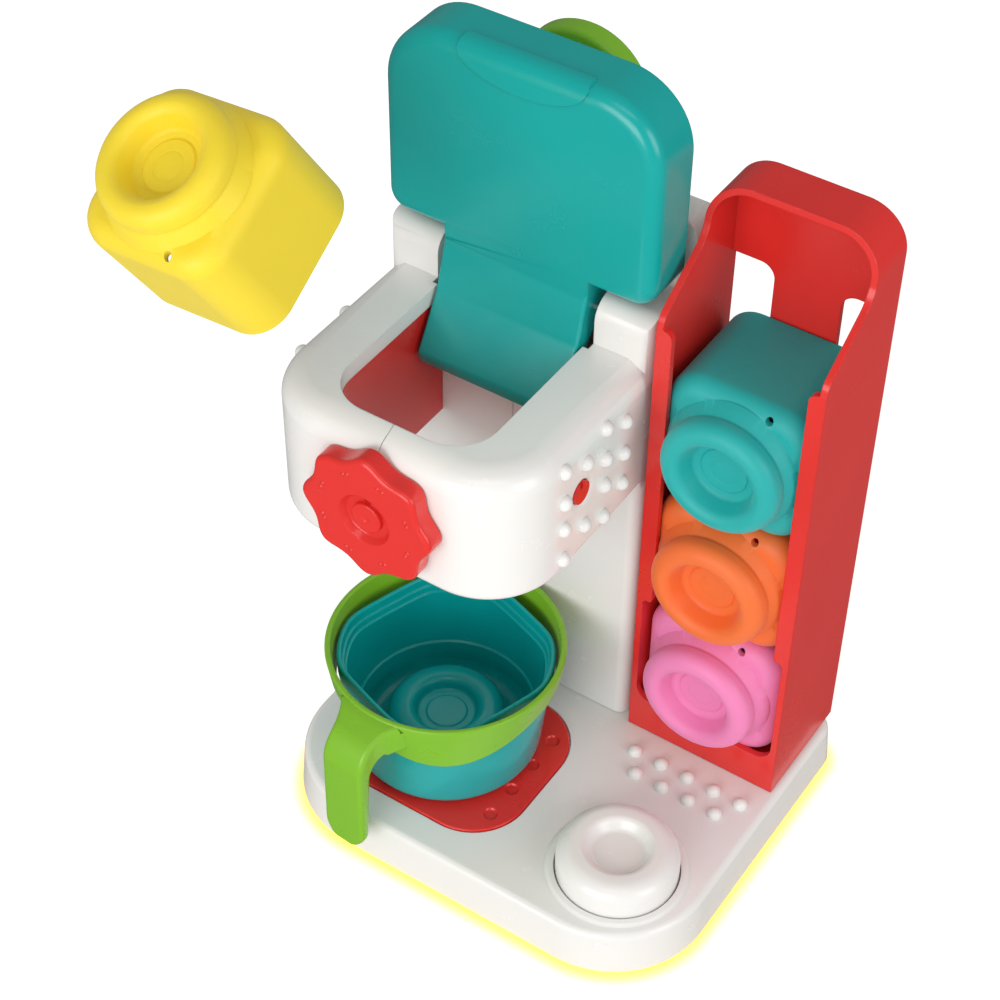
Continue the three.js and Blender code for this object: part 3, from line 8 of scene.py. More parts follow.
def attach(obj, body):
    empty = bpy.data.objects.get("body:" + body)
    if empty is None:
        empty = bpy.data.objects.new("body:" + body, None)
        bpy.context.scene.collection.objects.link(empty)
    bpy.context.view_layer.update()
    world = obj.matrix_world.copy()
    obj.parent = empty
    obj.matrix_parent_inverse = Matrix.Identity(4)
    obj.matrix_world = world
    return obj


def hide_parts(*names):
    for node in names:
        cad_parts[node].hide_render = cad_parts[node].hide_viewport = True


# Toy coffee maker. Pieces are drawn in millimetres in the frame's own axes, then scaled to metres
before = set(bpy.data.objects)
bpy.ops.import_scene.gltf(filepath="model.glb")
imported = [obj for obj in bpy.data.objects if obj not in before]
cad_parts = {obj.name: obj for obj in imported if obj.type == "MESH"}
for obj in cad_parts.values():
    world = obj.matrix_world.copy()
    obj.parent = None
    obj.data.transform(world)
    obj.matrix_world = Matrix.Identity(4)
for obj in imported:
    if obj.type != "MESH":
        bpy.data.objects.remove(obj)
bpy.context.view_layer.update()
mm = 0.001
towerMiddle = -45.5  # middle of the head, lid, cup and carry handle
columnFront = 30.5
columnRear = 88.0
weld = 0.0005  # points nearer than this are one
level = 0.01  # points nearer than this to a face lie on it
# lookAlongX turns a drawing (y, z) so that it is pulled along X, lookAlongY a drawing (x, z) along -Y
lookAlongX = Matrix(((0, 0, 1, 0), (1, 0, 0, 0), (0, 1, 0, 0), (0, 0, 0, 1)))
lookAlongY = Matrix(((1, 0, 0, 0), (0, 0, -1, 0), (0, 1, 0, 0), (0, 0, 0, 1)))
print("frame loaded")


# Materials

def linear(code):
    # sRGB hex to linear
    shares = [int(code[i:i + 2], 16) / 255 for i in (1, 3, 5)]
    return [s / 12.92 if s <= 0.04045 else ((s + 0.055) / 1.055) ** 2.4 for s in shares] + [1.0]


def addNode(tree, kind, settings=None, links=None):
    node = tree.nodes.new(kind)
    for key, value in (settings or {}).items():
        if isinstance(key, int) or key in node.inputs:
            node.inputs[key].default_value = value
        else:
            setattr(node, key, value)
    for key, source in (links or {}).items():
        tree.links.new(source, node.inputs[key])
    return node


def newMaterial(name):
    material = bpy.data.materials.new(name)
    material.use_nodes = True
    tree = material.node_tree
    tree.nodes.clear()
    output = addNode(tree, "ShaderNodeOutputMaterial")
    return material, tree, output


def patternScale(size):
    # noise scale whose features are about that many millimetres wide, on Object coordinates in metres
    return 1 / (size * mm)


def mouldedPlastic(name, colour, drift, roughness, spread, ripple, rippleDepth, grain=0.0, grainDepth=0.0,
                   **shader):
    # colour drifts a little over centimetres, gloss over a few more, and the skin ripples as moulded plastic does
    material, tree, output = newMaterial(name)
    place = addNode(tree, "ShaderNodeTexCoord").outputs["Object"]
    wide = addNode(tree, "ShaderNodeTexNoise", {"Scale": patternScale(45), "Detail": 2.0}, {"Vector": place})
    tint = addNode(tree, "ShaderNodeMix", {"data_type": "RGBA", 6: linear(colour), 7: linear(drift)},
                   {0: wide.outputs["Fac"]})
    cloud = addNode(tree, "ShaderNodeTexNoise", {"Scale": patternScale(18), "Detail": 4.0}, {"Vector": place})
    gloss = addNode(tree, "ShaderNodeMapRange",
                    {"From Min": 0.3, "From Max": 0.7, "To Min": roughness - spread, "To Max": roughness + spread},
                    {"Value": cloud.outputs["Fac"]})
    skin = addNode(tree, "ShaderNodeTexNoise", {"Scale": patternScale(ripple), "Detail": 2.0}, {"Vector": place})
    softEdge = addNode(tree, "ShaderNodeBevel", {"samples": 4, "Radius": 0.6 * mm})
    bump = addNode(tree, "ShaderNodeBump", {"Strength": 1.0, "Distance": rippleDepth * mm},
                   {"Height": skin.outputs["Fac"], "Normal": softEdge.outputs["Normal"]})
    if grain:
        spark = addNode(tree, "ShaderNodeTexVoronoi", {"Scale": patternScale(grain)}, {"Vector": place})
        bump = addNode(tree, "ShaderNodeBump", {"Strength": 1.0, "Distance": grainDepth * mm},
                       {"Height": spark.outputs["Distance"], "Normal": bump.outputs["Normal"]})
    plastic = addNode(tree, "ShaderNodeBsdfPrincipled", shader,
                      {"Base Color": tint.outputs[2], "Roughness": gloss.outputs["Result"],
                       "Normal": bump.outputs["Normal"]})
    tree.links.new(plastic.outputs["BSDF"], output.inputs["Surface"])
    return material


glossAbs = {"roughness": 0.24, "spread": 0.04, "ripple": 9.0, "rippleDepth": 0.03, "IOR": 1.54}
softVinyl = {"roughness": 0.5, "spread": 0.05, "ripple": 6.0, "rippleDepth": 0.03, "grain": 0.9,
             "grainDepth": 0.012, "IOR": 1.52, "Sheen Weight": 0.12, "Sheen Roughness": 0.45,
             "Subsurface Weight": 0.12, "Subsurface Scale": 0.003}
finishes = {
    # ABS moulded in a polished tool: bright, even colour with a clear but slightly wavy reflection
    "whiteAbs": mouldedPlastic("whiteAbs", "#f1efec", "#eceae6", **glossAbs),
    "redAbs": mouldedPlastic("redAbs", "#e5332d", "#de2b27", **glossAbs),
    "tealAbs": mouldedPlastic("tealAbs", "#04a8a3", "#03a19d", **glossAbs),
    # polypropylene: a little waxier and softer in its gloss than ABS
    "greenPolypropylene": mouldedPlastic("greenPolypropylene", "#83bf2c", "#7cb828", roughness=0.3, spread=0.05,
                                         ripple=8.0, rippleDepth=0.03, IOR=1.49),
    "tealPolypropylene": mouldedPlastic("tealPolypropylene", "#06a8a8", "#039f9f", roughness=0.2, spread=0.04,
                                        ripple=8.0, rippleDepth=0.02, IOR=1.49),
    # soft vinyl from a fine blasted tool: satin, a little powdery, light sinks in slightly
    "yellowVinyl": mouldedPlastic("yellowVinyl", "#f6dc2c", "#f0d526", **softVinyl),
    "tealVinyl": mouldedPlastic("tealVinyl", "#12b0ad", "#0ea8a5", **softVinyl),
    "orangeVinyl": mouldedPlastic("orangeVinyl", "#f4742f", "#ee6c29", **softVinyl),
    "pinkVinyl": mouldedPlastic("pinkVinyl", "#f087bb", "#ea80b4", **softVinyl),
    # plain black ABS inside, and thermoplastic rubber feet with a dull rubbed skin
    "darkAbs": mouldedPlastic("darkAbs", "#2b2c2e", "#343537", roughness=0.5, spread=0.08, ripple=4.0,
                              rippleDepth=0.05, grain=0.8, grainDepth=0.03, IOR=1.54),
    "footRubber": mouldedPlastic("footRubber", "#3a3a3b", "#454546", roughness=0.72, spread=0.08, ripple=2.0,
                                 rippleDepth=0.08, grain=0.6, grainDepth=0.04, IOR=1.52),
    "batteryJacket": mouldedPlastic("batteryJacket", "#3d4a54", "#46535d", roughness=0.3, spread=0.06, ripple=5.0,
                                    rippleDepth=0.04, IOR=1.5),
    # lacquered glass-fibre board: green with the weave showing faintly
    "boardLacquer": mouldedPlastic("boardLacquer", "#1f6b3c", "#2a7d49", roughness=0.35, spread=0.08, ripple=0.9,
                                   rippleDepth=0.03, IOR=1.5),
}


def zincSteel():
    # zinc-plated steel wire and screws: cool grey, fine drawn lines, uneven passivation
    material, tree, output = newMaterial("zincSteel")
    place = addNode(tree, "ShaderNodeTexCoord").outputs["Object"]
    patch = addNode(tree, "ShaderNodeTexNoise", {"Scale": patternScale(3), "Detail": 3.0}, {"Vector": place})
    tint = addNode(tree, "ShaderNodeMix", {"data_type": "RGBA", 6: linear("#b9bcc0"), 7: linear("#a3a7ad")},
                   {0: patch.outputs["Fac"]})
    wear = addNode(tree, "ShaderNodeMapRange", {"To Min": 0.25, "To Max": 0.45}, {"Value": patch.outputs["Fac"]})
    steel = addNode(tree, "ShaderNodeBsdfPrincipled", {"Metallic": 1.0},
                    {"Base Color": tint.outputs[2], "Roughness": wear.outputs["Result"]})
    tree.links.new(steel.outputs["BSDF"], output.inputs["Surface"])
    return material


def litDiffuser():
    # opal polycarbonate light guide: warm light leaves it, a little brighter in broad random patches
    material, tree, output = newMaterial("litDiffuser")
    place = addNode(tree, "ShaderNodeTexCoord").outputs["Object"]
    cloud = addNode(tree, "ShaderNodeTexNoise", {"Scale": patternScale(60), "Detail": 1.0}, {"Vector": place})
    glow = addNode(tree, "ShaderNodeMapRange", {"From Min": 0.3, "From Max": 0.7, "To Min": 1.5, "To Max": 2.1},
                   {"Value": cloud.outputs["Fac"]})
    frost = addNode(tree, "ShaderNodeTexNoise", {"Scale": patternScale(1.2), "Detail": 2.0}, {"Vector": place})
    bump = addNode(tree, "ShaderNodeBump", {"Distance": 0.02 * mm}, {"Height": frost.outputs["Fac"]})
    body = addNode(tree, "ShaderNodeBsdfPrincipled",
                   {"Base Color": linear("#ffdf86"), "Roughness": 0.45, "IOR": 1.58,
                    "Emission Color": linear("#ffc93c")},
                   {"Emission Strength": glow.outputs["Result"], "Normal": bump.outputs["Normal"]})
    tree.links.new(body.outputs["BSDF"], output.inputs["Surface"])
    return material


finishes["zincSteel"] = zincSteel()
finishes["litDiffuser"] = litDiffuser()
print("materials ready")


# Drawing and shaping

def roundCorners(bm, verts, radii, steps, closed=True):
    # each corner's arc begins at the tangent length that its own angle gives
    points = [v.co.copy() for v in verts]
    for i, (vert, radius) in enumerate(zip(verts, radii)):
        if not radius or not closed and i in (0, len(verts) - 1):
            continue
        back, ahead = points[i - 1] - points[i], points[(i + 1) % len(points)] - points[i]
        bmesh.ops.bevel(bm, geom=[vert], offset=radius / math.tan(back.angle(ahead) / 2), offset_type="OFFSET",
                        segments=steps, profile=0.5, affect="VERTICES", material=-1, clamp_overlap=False)


def drawFace(corners, steps=12):
    # corners are (u, v, radius): a flat face whose corners are rounded
    bm = bmesh.new()
    verts = [bm.verts.new((u, v, 0)) for u, v, radius in corners]
    bm.faces.new(verts)
    roundCorners(bm, verts, [radius for u, v, radius in corners], steps)
    return bm


def pull(bm, faces, move):
    made = bmesh.ops.extrude_face_region(bm, geom=faces)["geom"]
    bmesh.ops.translate(bm, verts=[v for v in made if isinstance(v, bmesh.types.BMVert)], vec=move)
    return [f for f in made if isinstance(f, bmesh.types.BMFace)]


def roundEdges(bm, test, radius, steps=5):
    # rounds every edge that lies wholly where the test says
    edges = [e for e in bm.edges if all(test(v.co) for v in e.verts)]
    bmesh.ops.bevel(bm, geom=edges, offset=radius, offset_type="OFFSET", segments=steps, profile=0.5,
                    affect="EDGES", material=-1, clamp_overlap=False)
    return bm


def prism(corners, low, high, along="z", steps=12):
    bm = drawFace(corners, steps)
    start, end = (-high, -low) if along == "y" else (low, high)
    bmesh.ops.translate(bm, verts=bm.verts, vec=(0, 0, start))
    pull(bm, bm.faces[:], (0, 0, end - start))
    bmesh.ops.recalc_face_normals(bm, faces=bm.faces)
    if along != "z":
        bm.transform(lookAlongX if along == "x" else lookAlongY)
        bm.normal_update()
    return bm


def rectangle(left, right, low, high, lowRadius, highRadius):
    return [(left, low, lowRadius), (right, low, lowRadius), (right, high, highRadius), (left, high, highRadius)]


def block(x0, x1, y0, y1, z0, z1):
    return prism(rectangle(x0, x1, y0, y1, 0, 0), z0, z1)


def rod(radius, low, high, along="z", centre=(0, 0), steps=64, tip=None):
    # a round bar, or a cone where tip is its radius at the high end
    bm = bmesh.new()
    far = radius if tip is None else tip
    bmesh.ops.create_cone(bm, cap_ends=True, segments=steps, radius1=radius, radius2=far, depth=high - low)
    middle = (low + high) / 2
    if along == "y":
        place = Matrix.Translation((centre[0], middle, centre[1])) @ Matrix.Rotation(math.pi / -2, 4, "X")
    elif along == "x":
        place = Matrix.Translation((middle, centre[0], centre[1])) @ Matrix.Rotation(math.pi / 2, 4, "Y")
    else:
        place = Matrix.Translation((centre[0], centre[1], middle))
    bm.transform(place)
    return bm


def spun(profile, steps=96, centre=(0, 0), arc=6):
    # profile is (radius, height, rounding): turned round a vertical axis
    bm = bmesh.new()
    verts = [bm.verts.new((radius, 0, height)) for radius, height, rounding in profile]
    for pair in zip(verts, verts[1:]):
        bm.edges.new(pair)
    closed = bool(profile[0][0] and profile[-1][0])
    if closed:
        bm.edges.new((verts[-1], verts[0]))
    roundCorners(bm, verts, [rounding for radius, height, rounding in profile], arc, closed)
    bmesh.ops.spin(bm, geom=bm.verts[:] + bm.edges[:], cent=(0, 0, 0), axis=(0, 0, 1), angle=2 * math.pi,
                   steps=steps, use_merge=True, use_duplicate=False)
    bmesh.ops.remove_doubles(bm, verts=bm.verts, dist=weld)
    bmesh.ops.recalc_face_normals(bm, faces=bm.faces)
    bmesh.ops.translate(bm, verts=bm.verts, vec=(centre[0], centre[1], 0))
    return bm


def asObject(bm, name):
    mesh = bpy.data.meshes.new(name)
    bm.to_mesh(mesh)
    bm.free()
    made = bpy.data.objects.new(name, mesh)
    bpy.context.scene.collection.objects.link(made)
    return made


def combine(first, second, how):
    # one boolean between two solids; both are used up
    target, tool = asObject(first, "target"), asObject(second, "tool")
    modifier = target.modifiers.new("combine", "BOOLEAN")
    modifier.object, modifier.operation, modifier.solver = tool, how, "MANIFOLD"
    bpy.context.view_layer.update()
    result = bmesh.new()
    result.from_object(target, bpy.context.evaluated_depsgraph_get())
    for used in (target, tool):
        mesh = used.data
        bpy.data.objects.remove(used)
        bpy.data.meshes.remove(mesh)
    bmesh.ops.dissolve_degenerate(result, dist=0.002, edges=result.edges)
    return result


def cut(first, *tools):
    for tool in tools:
        first = combine(first, tool, "DIFFERENCE")
    return first


def join(first, *others):
    for other in others:
        first = combine(first, other, "UNION")
    return first


def common(first, *others):
    for other in others:
        first = combine(first, other, "INTERSECT")
    return first


def gather(first, *others):
    # several closed shapes in one mesh
    for other in others:
        mesh = bpy.data.meshes.new("part")
        other.to_mesh(mesh)
        other.free()
        first.from_mesh(mesh)
        bpy.data.meshes.remove(mesh)
    return first


def finishPiece(bm, name, body, finish, nodes, sharp=50, place=None):
    # puts the drawing in place, gives the piece its shading and material, ties it to its body and hides the CAD nodes
    # it stands in for
    if place:
        bm.transform(place)
    bm.transform(Matrix.Scale(mm, 4))
    piece = asObject(bm, name)
    piece.data.polygons.foreach_set("use_smooth", [True] * len(piece.data.polygons))
    piece.data.set_sharp_from_angle(angle=math.radians(sharp))
    shading = piece.modifiers.new("even shading", "WEIGHTED_NORMAL")
    shading.keep_sharp = True
    piece.data.materials.append(finishes[finish])
    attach(piece, body)
    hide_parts(*nodes)


def dome(radius, sink=0.6):
    # a small half ball that stands on a face, closed a little below it
    bm = bmesh.new()
    bmesh.ops.create_uvsphere(bm, u_segments=20, v_segments=14, radius=radius)
    rim = bmesh.ops.bisect_plane(bm, geom=bm.verts[:] + bm.edges[:] + bm.faces[:], plane_co=(0, 0, -sink),
                                 plane_no=(0, 0, -1), clear_outer=True)["geom_cut"]
    bmesh.ops.holes_fill(bm, edges=[e for e in rim if isinstance(e, bmesh.types.BMEdge)], sides=0)
    return bm


def domesAt(places, radius, turn=None):
    bm = bmesh.new()
    for place in places:
        one = dome(radius)
        one.transform(Matrix.Translation(place) @ (turn or Matrix.Identity(4)))
        gather(bm, one)
    return bm


# Base: shell with bumps and the button's collar, light ring and drip plate; then the button

base = {"halfWidth": 106, "halfDepth": 89, "frontRadius": 48, "rearRadius": 12, "low": 2.7, "top": 26, "draft": 1.6,
        "edge": 3.2, "wall": 2.6, "ceiling": 22.6, "bumpRadius": 3.5, "bumpRight": 92.4, "bumpPitch": 14.1,
        "bumpBack": 15.0, "bumpRow": 11.4}
guide = {"inset": 0.8, "width": 6.0, "thick": 2.4, "edge": 0.35}
button = {"x": 64.2, "y": -47.0, "radius": 28.0, "hole": 28.6, "top": 42.0}
drip = {"x": -39.4, "y": -27.9, "halfWidth": 51.6, "halfDepth": 43.9, "radius": 28, "floor": 24.2, "top": 26.8,
        "gap": 0.6, "dimple": 3.4, "dimplePitch": 17.4, "dimpleInset": 11.7, "dimpleDepth": 0.9}


def baseOutline(inset):
    w, d = base["halfWidth"] - inset, base["halfDepth"] - inset
    return rectangle(-w, w, -d, d, base["frontRadius"] - inset, base["rearRadius"] - inset)


def dripOutline(inset):
    x, y, w, d = drip["x"], drip["y"], drip["halfWidth"] - inset, drip["halfDepth"] - inset
    return rectangle(x - w, x + w, y - d, y + d, drip["radius"] - inset, drip["radius"] - inset)


def makeBase():
    shell = prism(baseOutline(0), base["low"], base["top"], steps=20)
    lean = [1 - base["draft"] / base["halfWidth"], 1 - base["draft"] / base["halfDepth"], 1]
    bmesh.ops.scale(shell, verts=[v for v in shell.verts if v.co.z > base["top"] - 1], vec=lean)
    roundEdges(shell, lambda p: p.z > base["top"] - level, base["edge"], 6)
    shell = cut(shell,
                prism(baseOutline(base["wall"] + base["draft"]), base["low"] - 2, base["ceiling"], steps=12),
                prism(dripOutline(0), drip["floor"], base["top"] + 2, steps=16),
                rod(button["hole"], base["ceiling"] - 2, base["top"] + 2, centre=(button["x"], button["y"]), steps=96))
    hole = button["hole"]
    collar = spun([(hole, 24.4, 0), (hole, 27.2, 0.5), (hole + 2.6, 27.2, 0.9), (hole + 4.2, 26.02, 0.6),
                   (hole + 4.2, 24.4, 0)], centre=(button["x"], button["y"]))
    right, pitch, back, row = (base[k] for k in ("bumpRight", "bumpPitch", "bumpBack", "bumpRow"))
    places = [(right - i * pitch, back, base["top"]) for i in range(5)]
    places += [(right - (i + 0.5) * pitch, back - row, base["top"]) for i in range(4)]
    gather(shell, collar, domesAt(places, base["bumpRadius"]))
    finishPiece(shell, "baseMoulding", "machine", "whiteAbs", ["base_shell"])

    thick, edge = guide["thick"], guide["edge"]
    ring = prism(baseOutline(guide["inset"]), 0, thick, steps=20)
    roundEdges(ring, lambda p: p.z > thick - level, edge, 3)
    roundEdges(ring, lambda p: p.z < level, edge, 3)
    ring = cut(ring, prism(baseOutline(guide["inset"] + guide["width"]), -2, 4, steps=16))
    finishPiece(ring, "lightGuide", "machine", "litDiffuser", ["light_ring"])

    plate = prism(dripOutline(drip["gap"]), drip["floor"] + 0.3, drip["top"], steps=16)
    roundEdges(plate, lambda p: p.z > drip["top"] - level, 0.9, 4)
    away = drip["halfWidth"] - drip["dimpleInset"]
    for i in range(4):
        for side in (-1, 1):
            spot = (drip["x"] + side * away, drip["y"] + (i - 1.5) * drip["dimplePitch"])
            plate = cut(plate, rod(drip["dimple"] * 0.8, drip["top"] - drip["dimpleDepth"], drip["top"] + 0.4,
                                   centre=spot, steps=32, tip=drip["dimple"] * 1.1))
    finishPiece(plate, "dripPlate", "machine", "redAbs", ["drip_plate"])


def makeButton():
    r = button["radius"]
    cap = spun([(0, 37.2, 0), (11.8, 37.2, 2.6), (15.6, 42, 3.2), (r, 42, 8.2), (r, 22.3, 0), (r + 2.6, 22.3, 0.3),
                (r + 2.6, 20.3, 0.3), (r - 2.4, 20.3, 0.3), (r - 2.4, 35.2, 4), (4, 35.2, 1), (4, 13.7, 0.4),
                (0, 13.7, 0)], centre=(button["x"], button["y"]), steps=120, arc=10)
    finishPiece(cap, "pushButton", "button", "whiteAbs", ["push_button"], sharp=45)


makeBase()
makeButton()
print("base ready")


# Tower: column, head with its open mouth, hinge posts and upstand, in two halves

tower = {"left": -111.0, "right": 20.0, "columnInset": 7.5, "columnRadius": 6, "foot": 26.3, "headLow": 176,
         "headFront": -69.0, "shoulder": 239.4, "rim": 245.0, "frontRadius": 35, "bottomRound": 5, "topRound": 6.5,
         "slotHalf": 39.2, "slotLow": 200, "hingeZ": 256.5, "postRadius": 10, "top": 292, "topDepth": 17,
         "footDepth": 29, "sideRound": 12, "wall": 2.6, "seam": 0.15}
mouth = {"half": 36.5, "front": -56.4, "radius": 20}
window = {"y": -17.1, "z": 211.2, "dish": 9.5, "pin": 5.5, "dishDepth": 1.4}
bumpRows = ((-0.95, (-1.6, -0.55, 0.35, 1.38)), (0.08, (-1.16, 0.96)), (1.09, (-1.61, -0.52, 0.38, 1.39)),
            (2.05, (-1.13, -0.09, 0.98)))


def columnShape(wall):
    foot = tower["foot"] - (4 if wall else 0)
    left, right, side = tower["left"] + wall, tower["right"] - wall, tower["columnInset"]
    roof, top = tower["hingeZ"] + tower["postRadius"] - wall, tower["top"] - wall
    sideView = prism([(columnFront + wall, foot, 0), (columnRear - wall, foot, 0), (columnRear - wall, top, 4),
                       (columnRear - tower["topDepth"] + wall, top, 4),
                       (columnRear - tower["footDepth"] + wall, roof, 3),
                       (columnFront + wall, roof, tower["postRadius"] - wall)], left - 5, right + 5, "x", 10)
    frontView = prism([(left + side, foot, 0), (right, foot, 0), (right, top, tower["sideRound"]),
                        (left, top, tower["sideRound"]), (left, tower["headLow"] + wall, side / 2),
                        (left + side, tower["headLow"] - side / 2 + wall, side / 2)],
                       columnFront - 5, columnRear + 5, "y", 10)
    radius = tower["columnRadius"] - wall
    plan = prism(rectangle(left, right, columnFront + wall, columnRear - wall, radius, radius), foot - 4,
                 tower["top"] + 5, steps=8)
    lower = prism(rectangle(left + side, right, columnFront + wall, columnRear - wall, radius, radius), foot - 4,
                  tower["headLow"] + 10, steps=8)
    above = block(left - 5, right + 5, columnFront - 5, columnRear + 5, tower["headLow"] - side / 2, 400)
    upper = common(plan, above)
    return common(join(upper, lower), sideView, frontView)


def headShape(wall):
    left, right, front = tower["left"] + wall, tower["right"] - wall, tower["headFront"] + wall
    low, shoulder = tower["headLow"] + wall, tower["shoulder"] - wall
    rear = columnFront + (0 if wall else 12)
    radius = tower["frontRadius"] - wall
    head = drawFace([(left, front, radius), (right, front, radius), (right, rear, 0), (left, rear, 0)], 20)
    bmesh.ops.translate(head, verts=head.verts, vec=(0, 0, low))
    top = pull(head, head.faces[:], (0, 0, shoulder - low))
    bmesh.ops.recalc_face_normals(head, faces=head.faces)
    if wall:
        return head
    bmesh.ops.inset_region(head, faces=top, thickness=12.6, depth=0)
    bmesh.ops.translate(head, verts=list({v for f in top for v in f.verts}), vec=(0, 0, tower["rim"] - shoulder))
    roundEdges(head, lambda p: abs(p.z - shoulder) < level, tower["topRound"], 7)
    roundEdges(head, lambda p: abs(p.z - low) < level, tower["bottomRound"], 6)
    return head


def mouthOutline(half, front, radius, rear):
    x = towerMiddle
    return [(x - half, front, radius), (x + half, front, radius), (x + half, rear, 0), (x - half, rear, 0)]


def shoulderInset(z):
    rise = min(max((z - 231) / 9, 0), 1)
    return 9 * (1 - math.sqrt(1 - rise * rise))


def makeTower():
    whole = join(columnShape(0), headShape(0))
    whole = cut(whole, headShape(tower["wall"]), columnShape(tower["wall"]))
    for side in (-1, 1):  # inner walls carry the lid's pins
        x = towerMiddle + side * (tower["slotHalf"] + 1.2)
        whole = join(whole, block(x - 1.2, x + 1.2, columnFront + 1.8, columnRear - 1, tower["slotLow"],
                                  tower["hingeZ"] + 5))
    middle = towerMiddle
    whole = cut(
        whole,
        prism(mouthOutline(mouth["half"], mouth["front"], mouth["radius"], columnFront + 4), 232, 255, steps=16),
        prism(mouthOutline(tower["slotHalf"], mouth["front"] - 1.1, mouth["radius"] + 1.6, columnFront), 170, 184,
              steps=16),
        prism([(columnFront - 4, tower["slotLow"], 0), (columnRear - 29.3, tower["slotLow"], 0),
               (columnRear - 29.3, 300, 0), (columnFront - 4, 300, 0)], middle - tower["slotHalf"],
              middle + tower["slotHalf"], "x"),
        rod(4.9, -72, -62, "y", (middle, 209.5), 48))
    for side, face in ((1, tower["right"]), (-1, tower["left"])):
        spot, hole, depth = (window["y"], window["z"]), window["pin"] + 0.3, window["dishDepth"]
        dish = rod(hole, 0, depth, "x", spot, 64, tip=window["dish"])
        dish.transform(Matrix.Translation((face - side * depth, 0, 0)) @ Matrix.Scale(side, 4, (1, 0, 0)))
        if side < 0:
            bmesh.ops.reverse_faces(dish, faces=dish.faces)
        whole = cut(whole, dish, rod(hole, face - 6, face + 6, "x", spot))
    for side in (-1, 1):  # pockets for the carry handle's legs
        x = middle + side * 24
        whole = cut(whole, block(x - 6.3, x + 6.3, 73.7, 85.3, 280.7, 296))
    for name, node, side in (("towerLeftHalf", "tower_left_half", -1), ("towerRightHalf", "tower_right_half", 1)):
        far = middle + side * 90
        near = middle + side * tower["seam"]
        half = common(whole.copy(), block(min(near, far), max(near, far), -90, 100, 0, 400))
        face = tower["right"] if side > 0 else tower["left"]
        places = []
        for along, heights in bumpRows:
            for rise in heights:
                z = window["z"] + rise * 16.4
                places.append((face - side * shoulderInset(z), window["y"] + along * 15.2, z))
        gather(half, domesAt(places, base["bumpRadius"], Matrix.Rotation(side * math.pi / 2, 4, "Y")))
        finishPiece(half, name, "machine", "whiteAbs", [node])
    whole.free()


makeTower()
print("tower ready")


# Chamber: red liner and the pin in each side window

def makeChamber():
    x = towerMiddle
    liner = prism(mouthOutline(38.9, mouth["front"] - 0.8, 21.6, columnFront - 0.3), 171, 239.6, steps=16)
    liner = cut(liner, prism(mouthOutline(37.3, mouth["front"] + 0.8, 20, columnFront + 4), 165, 245, steps=16))
    finishPiece(liner, "chamberWall", "machine", "redAbs", ["chamber_liner"])
    for i, side in ((1, -1), (2, 1)):
        near, far = sorted((x + side * 39.2, x + side * 65.2))
        pin = rod(window["pin"], near, far, "x", (window["y"], window["z"]))
        tip = far if side > 0 else near
        pin = cut(pin, block(tip - 1.2, tip + 1.2, window["y"] - 1.6, window["y"] + 0.4, window["z"] + 2.6,
                             window["z"] + 9))
        finishPiece(pin, f"chamberPin{i}", "machine", "redAbs", [f"chamber_pin_{i}"])


makeChamber()


# Knob: eight soft lobes, a shallow bowl with a hub, and small pips near the lobes

knob = {"z": 209.5, "back": -69.3, "face": -78.8, "outer": 32.0, "valley": 28.4, "lobes": 8, "edge": 2.4,
        "bowl": 12.5, "bowlDepth": 3.2, "hub": 7.2, "pip": 1.0, "pipRadius": 22.5}


def makeKnob():
    steps = 160
    body = bmesh.new()
    bmesh.ops.create_circle(body, cap_ends=True, segments=steps, radius=1)
    for vert in body.verts:
        around = math.atan2(vert.co.y, vert.co.x)
        wave = math.cos(knob["lobes"] * around)
        swing = (knob["outer"] - knob["valley"]) / 2
        vert.co *= (knob["outer"] + knob["valley"]) / 2 + swing * (wave - 0.12 * (1 - wave * wave))
    thick = knob["back"] - knob["face"]
    pull(body, body.faces[:], (0, 0, thick))
    bmesh.ops.recalc_face_normals(body, faces=body.faces)
    roundEdges(body, lambda p: p.z > thick - level, knob["edge"], 6)
    roundEdges(body, lambda p: p.z < level, 0.8, 3)
    bowl = spun([(0, thick - knob["bowlDepth"], 0), (knob["bowl"] - 2, thick - knob["bowlDepth"], 1.6),
                 (knob["bowl"] + 0.6, thick + 1, 0), (0, thick + 1, 0)], steps=72)
    body = cut(body, bowl)
    floor = thick - knob["bowlDepth"]
    hub = spun([(0, floor - 0.5, 0), (knob["hub"], floor - 0.5, 0), (knob["hub"], floor + 2.1, 0.7),
                (2.2, floor + 2.1, 0.5), (1.4, floor + 1.7, 0.3), (0, floor + 1.7, 0)], steps=64)
    notch = prism([(-1.6, 0, 0), (1.6, 0, 0), (2.4, 4.2, 0), (-2.4, 4.2, 0)], floor - 1.1, floor + 6)
    notch.transform(Matrix.Translation((0, knob["hub"] + 0.2, 0)))
    body = cut(join(body, hub), notch, rod(4.9, -1, 4.5, steps=48))
    pips = bmesh.new()
    for i in range(knob["lobes"]):
        for shift in (-0.055, 0.055):
            around = math.tau * (i + 0.5) / knob["lobes"] + shift
            one = dome(knob["pip"], 0.4)
            spot = (knob["pipRadius"] * math.cos(around), knob["pipRadius"] * math.sin(around), thick - 0.35)
            one.transform(Matrix.Translation(spot))
            gather(pips, one)
    gather(body, pips)
    place = Matrix.Translation((towerMiddle, knob["back"], knob["z"])) @ Matrix.Rotation(math.pi / 2, 4, "X")
    finishPiece(body, "knobCap", "knob", "redAbs", ["knob"], place=place)


makeKnob()
print("knob ready")


# Lid: a rounded shell with a thumb pad on its front edge, a bent tongue, and the panel on its outside

lid = {"left": -111.0, "right": 20.0, "low": 272.0, "top": 367.0, "front": 29.6, "rear": 55.6, "topRadius": 30,
       "lowRadius": 10, "edge": 7.0, "wall": 2.6, "tongueHalf": 35.4, "tongueEdge": 1.3, "panel": 2.2}


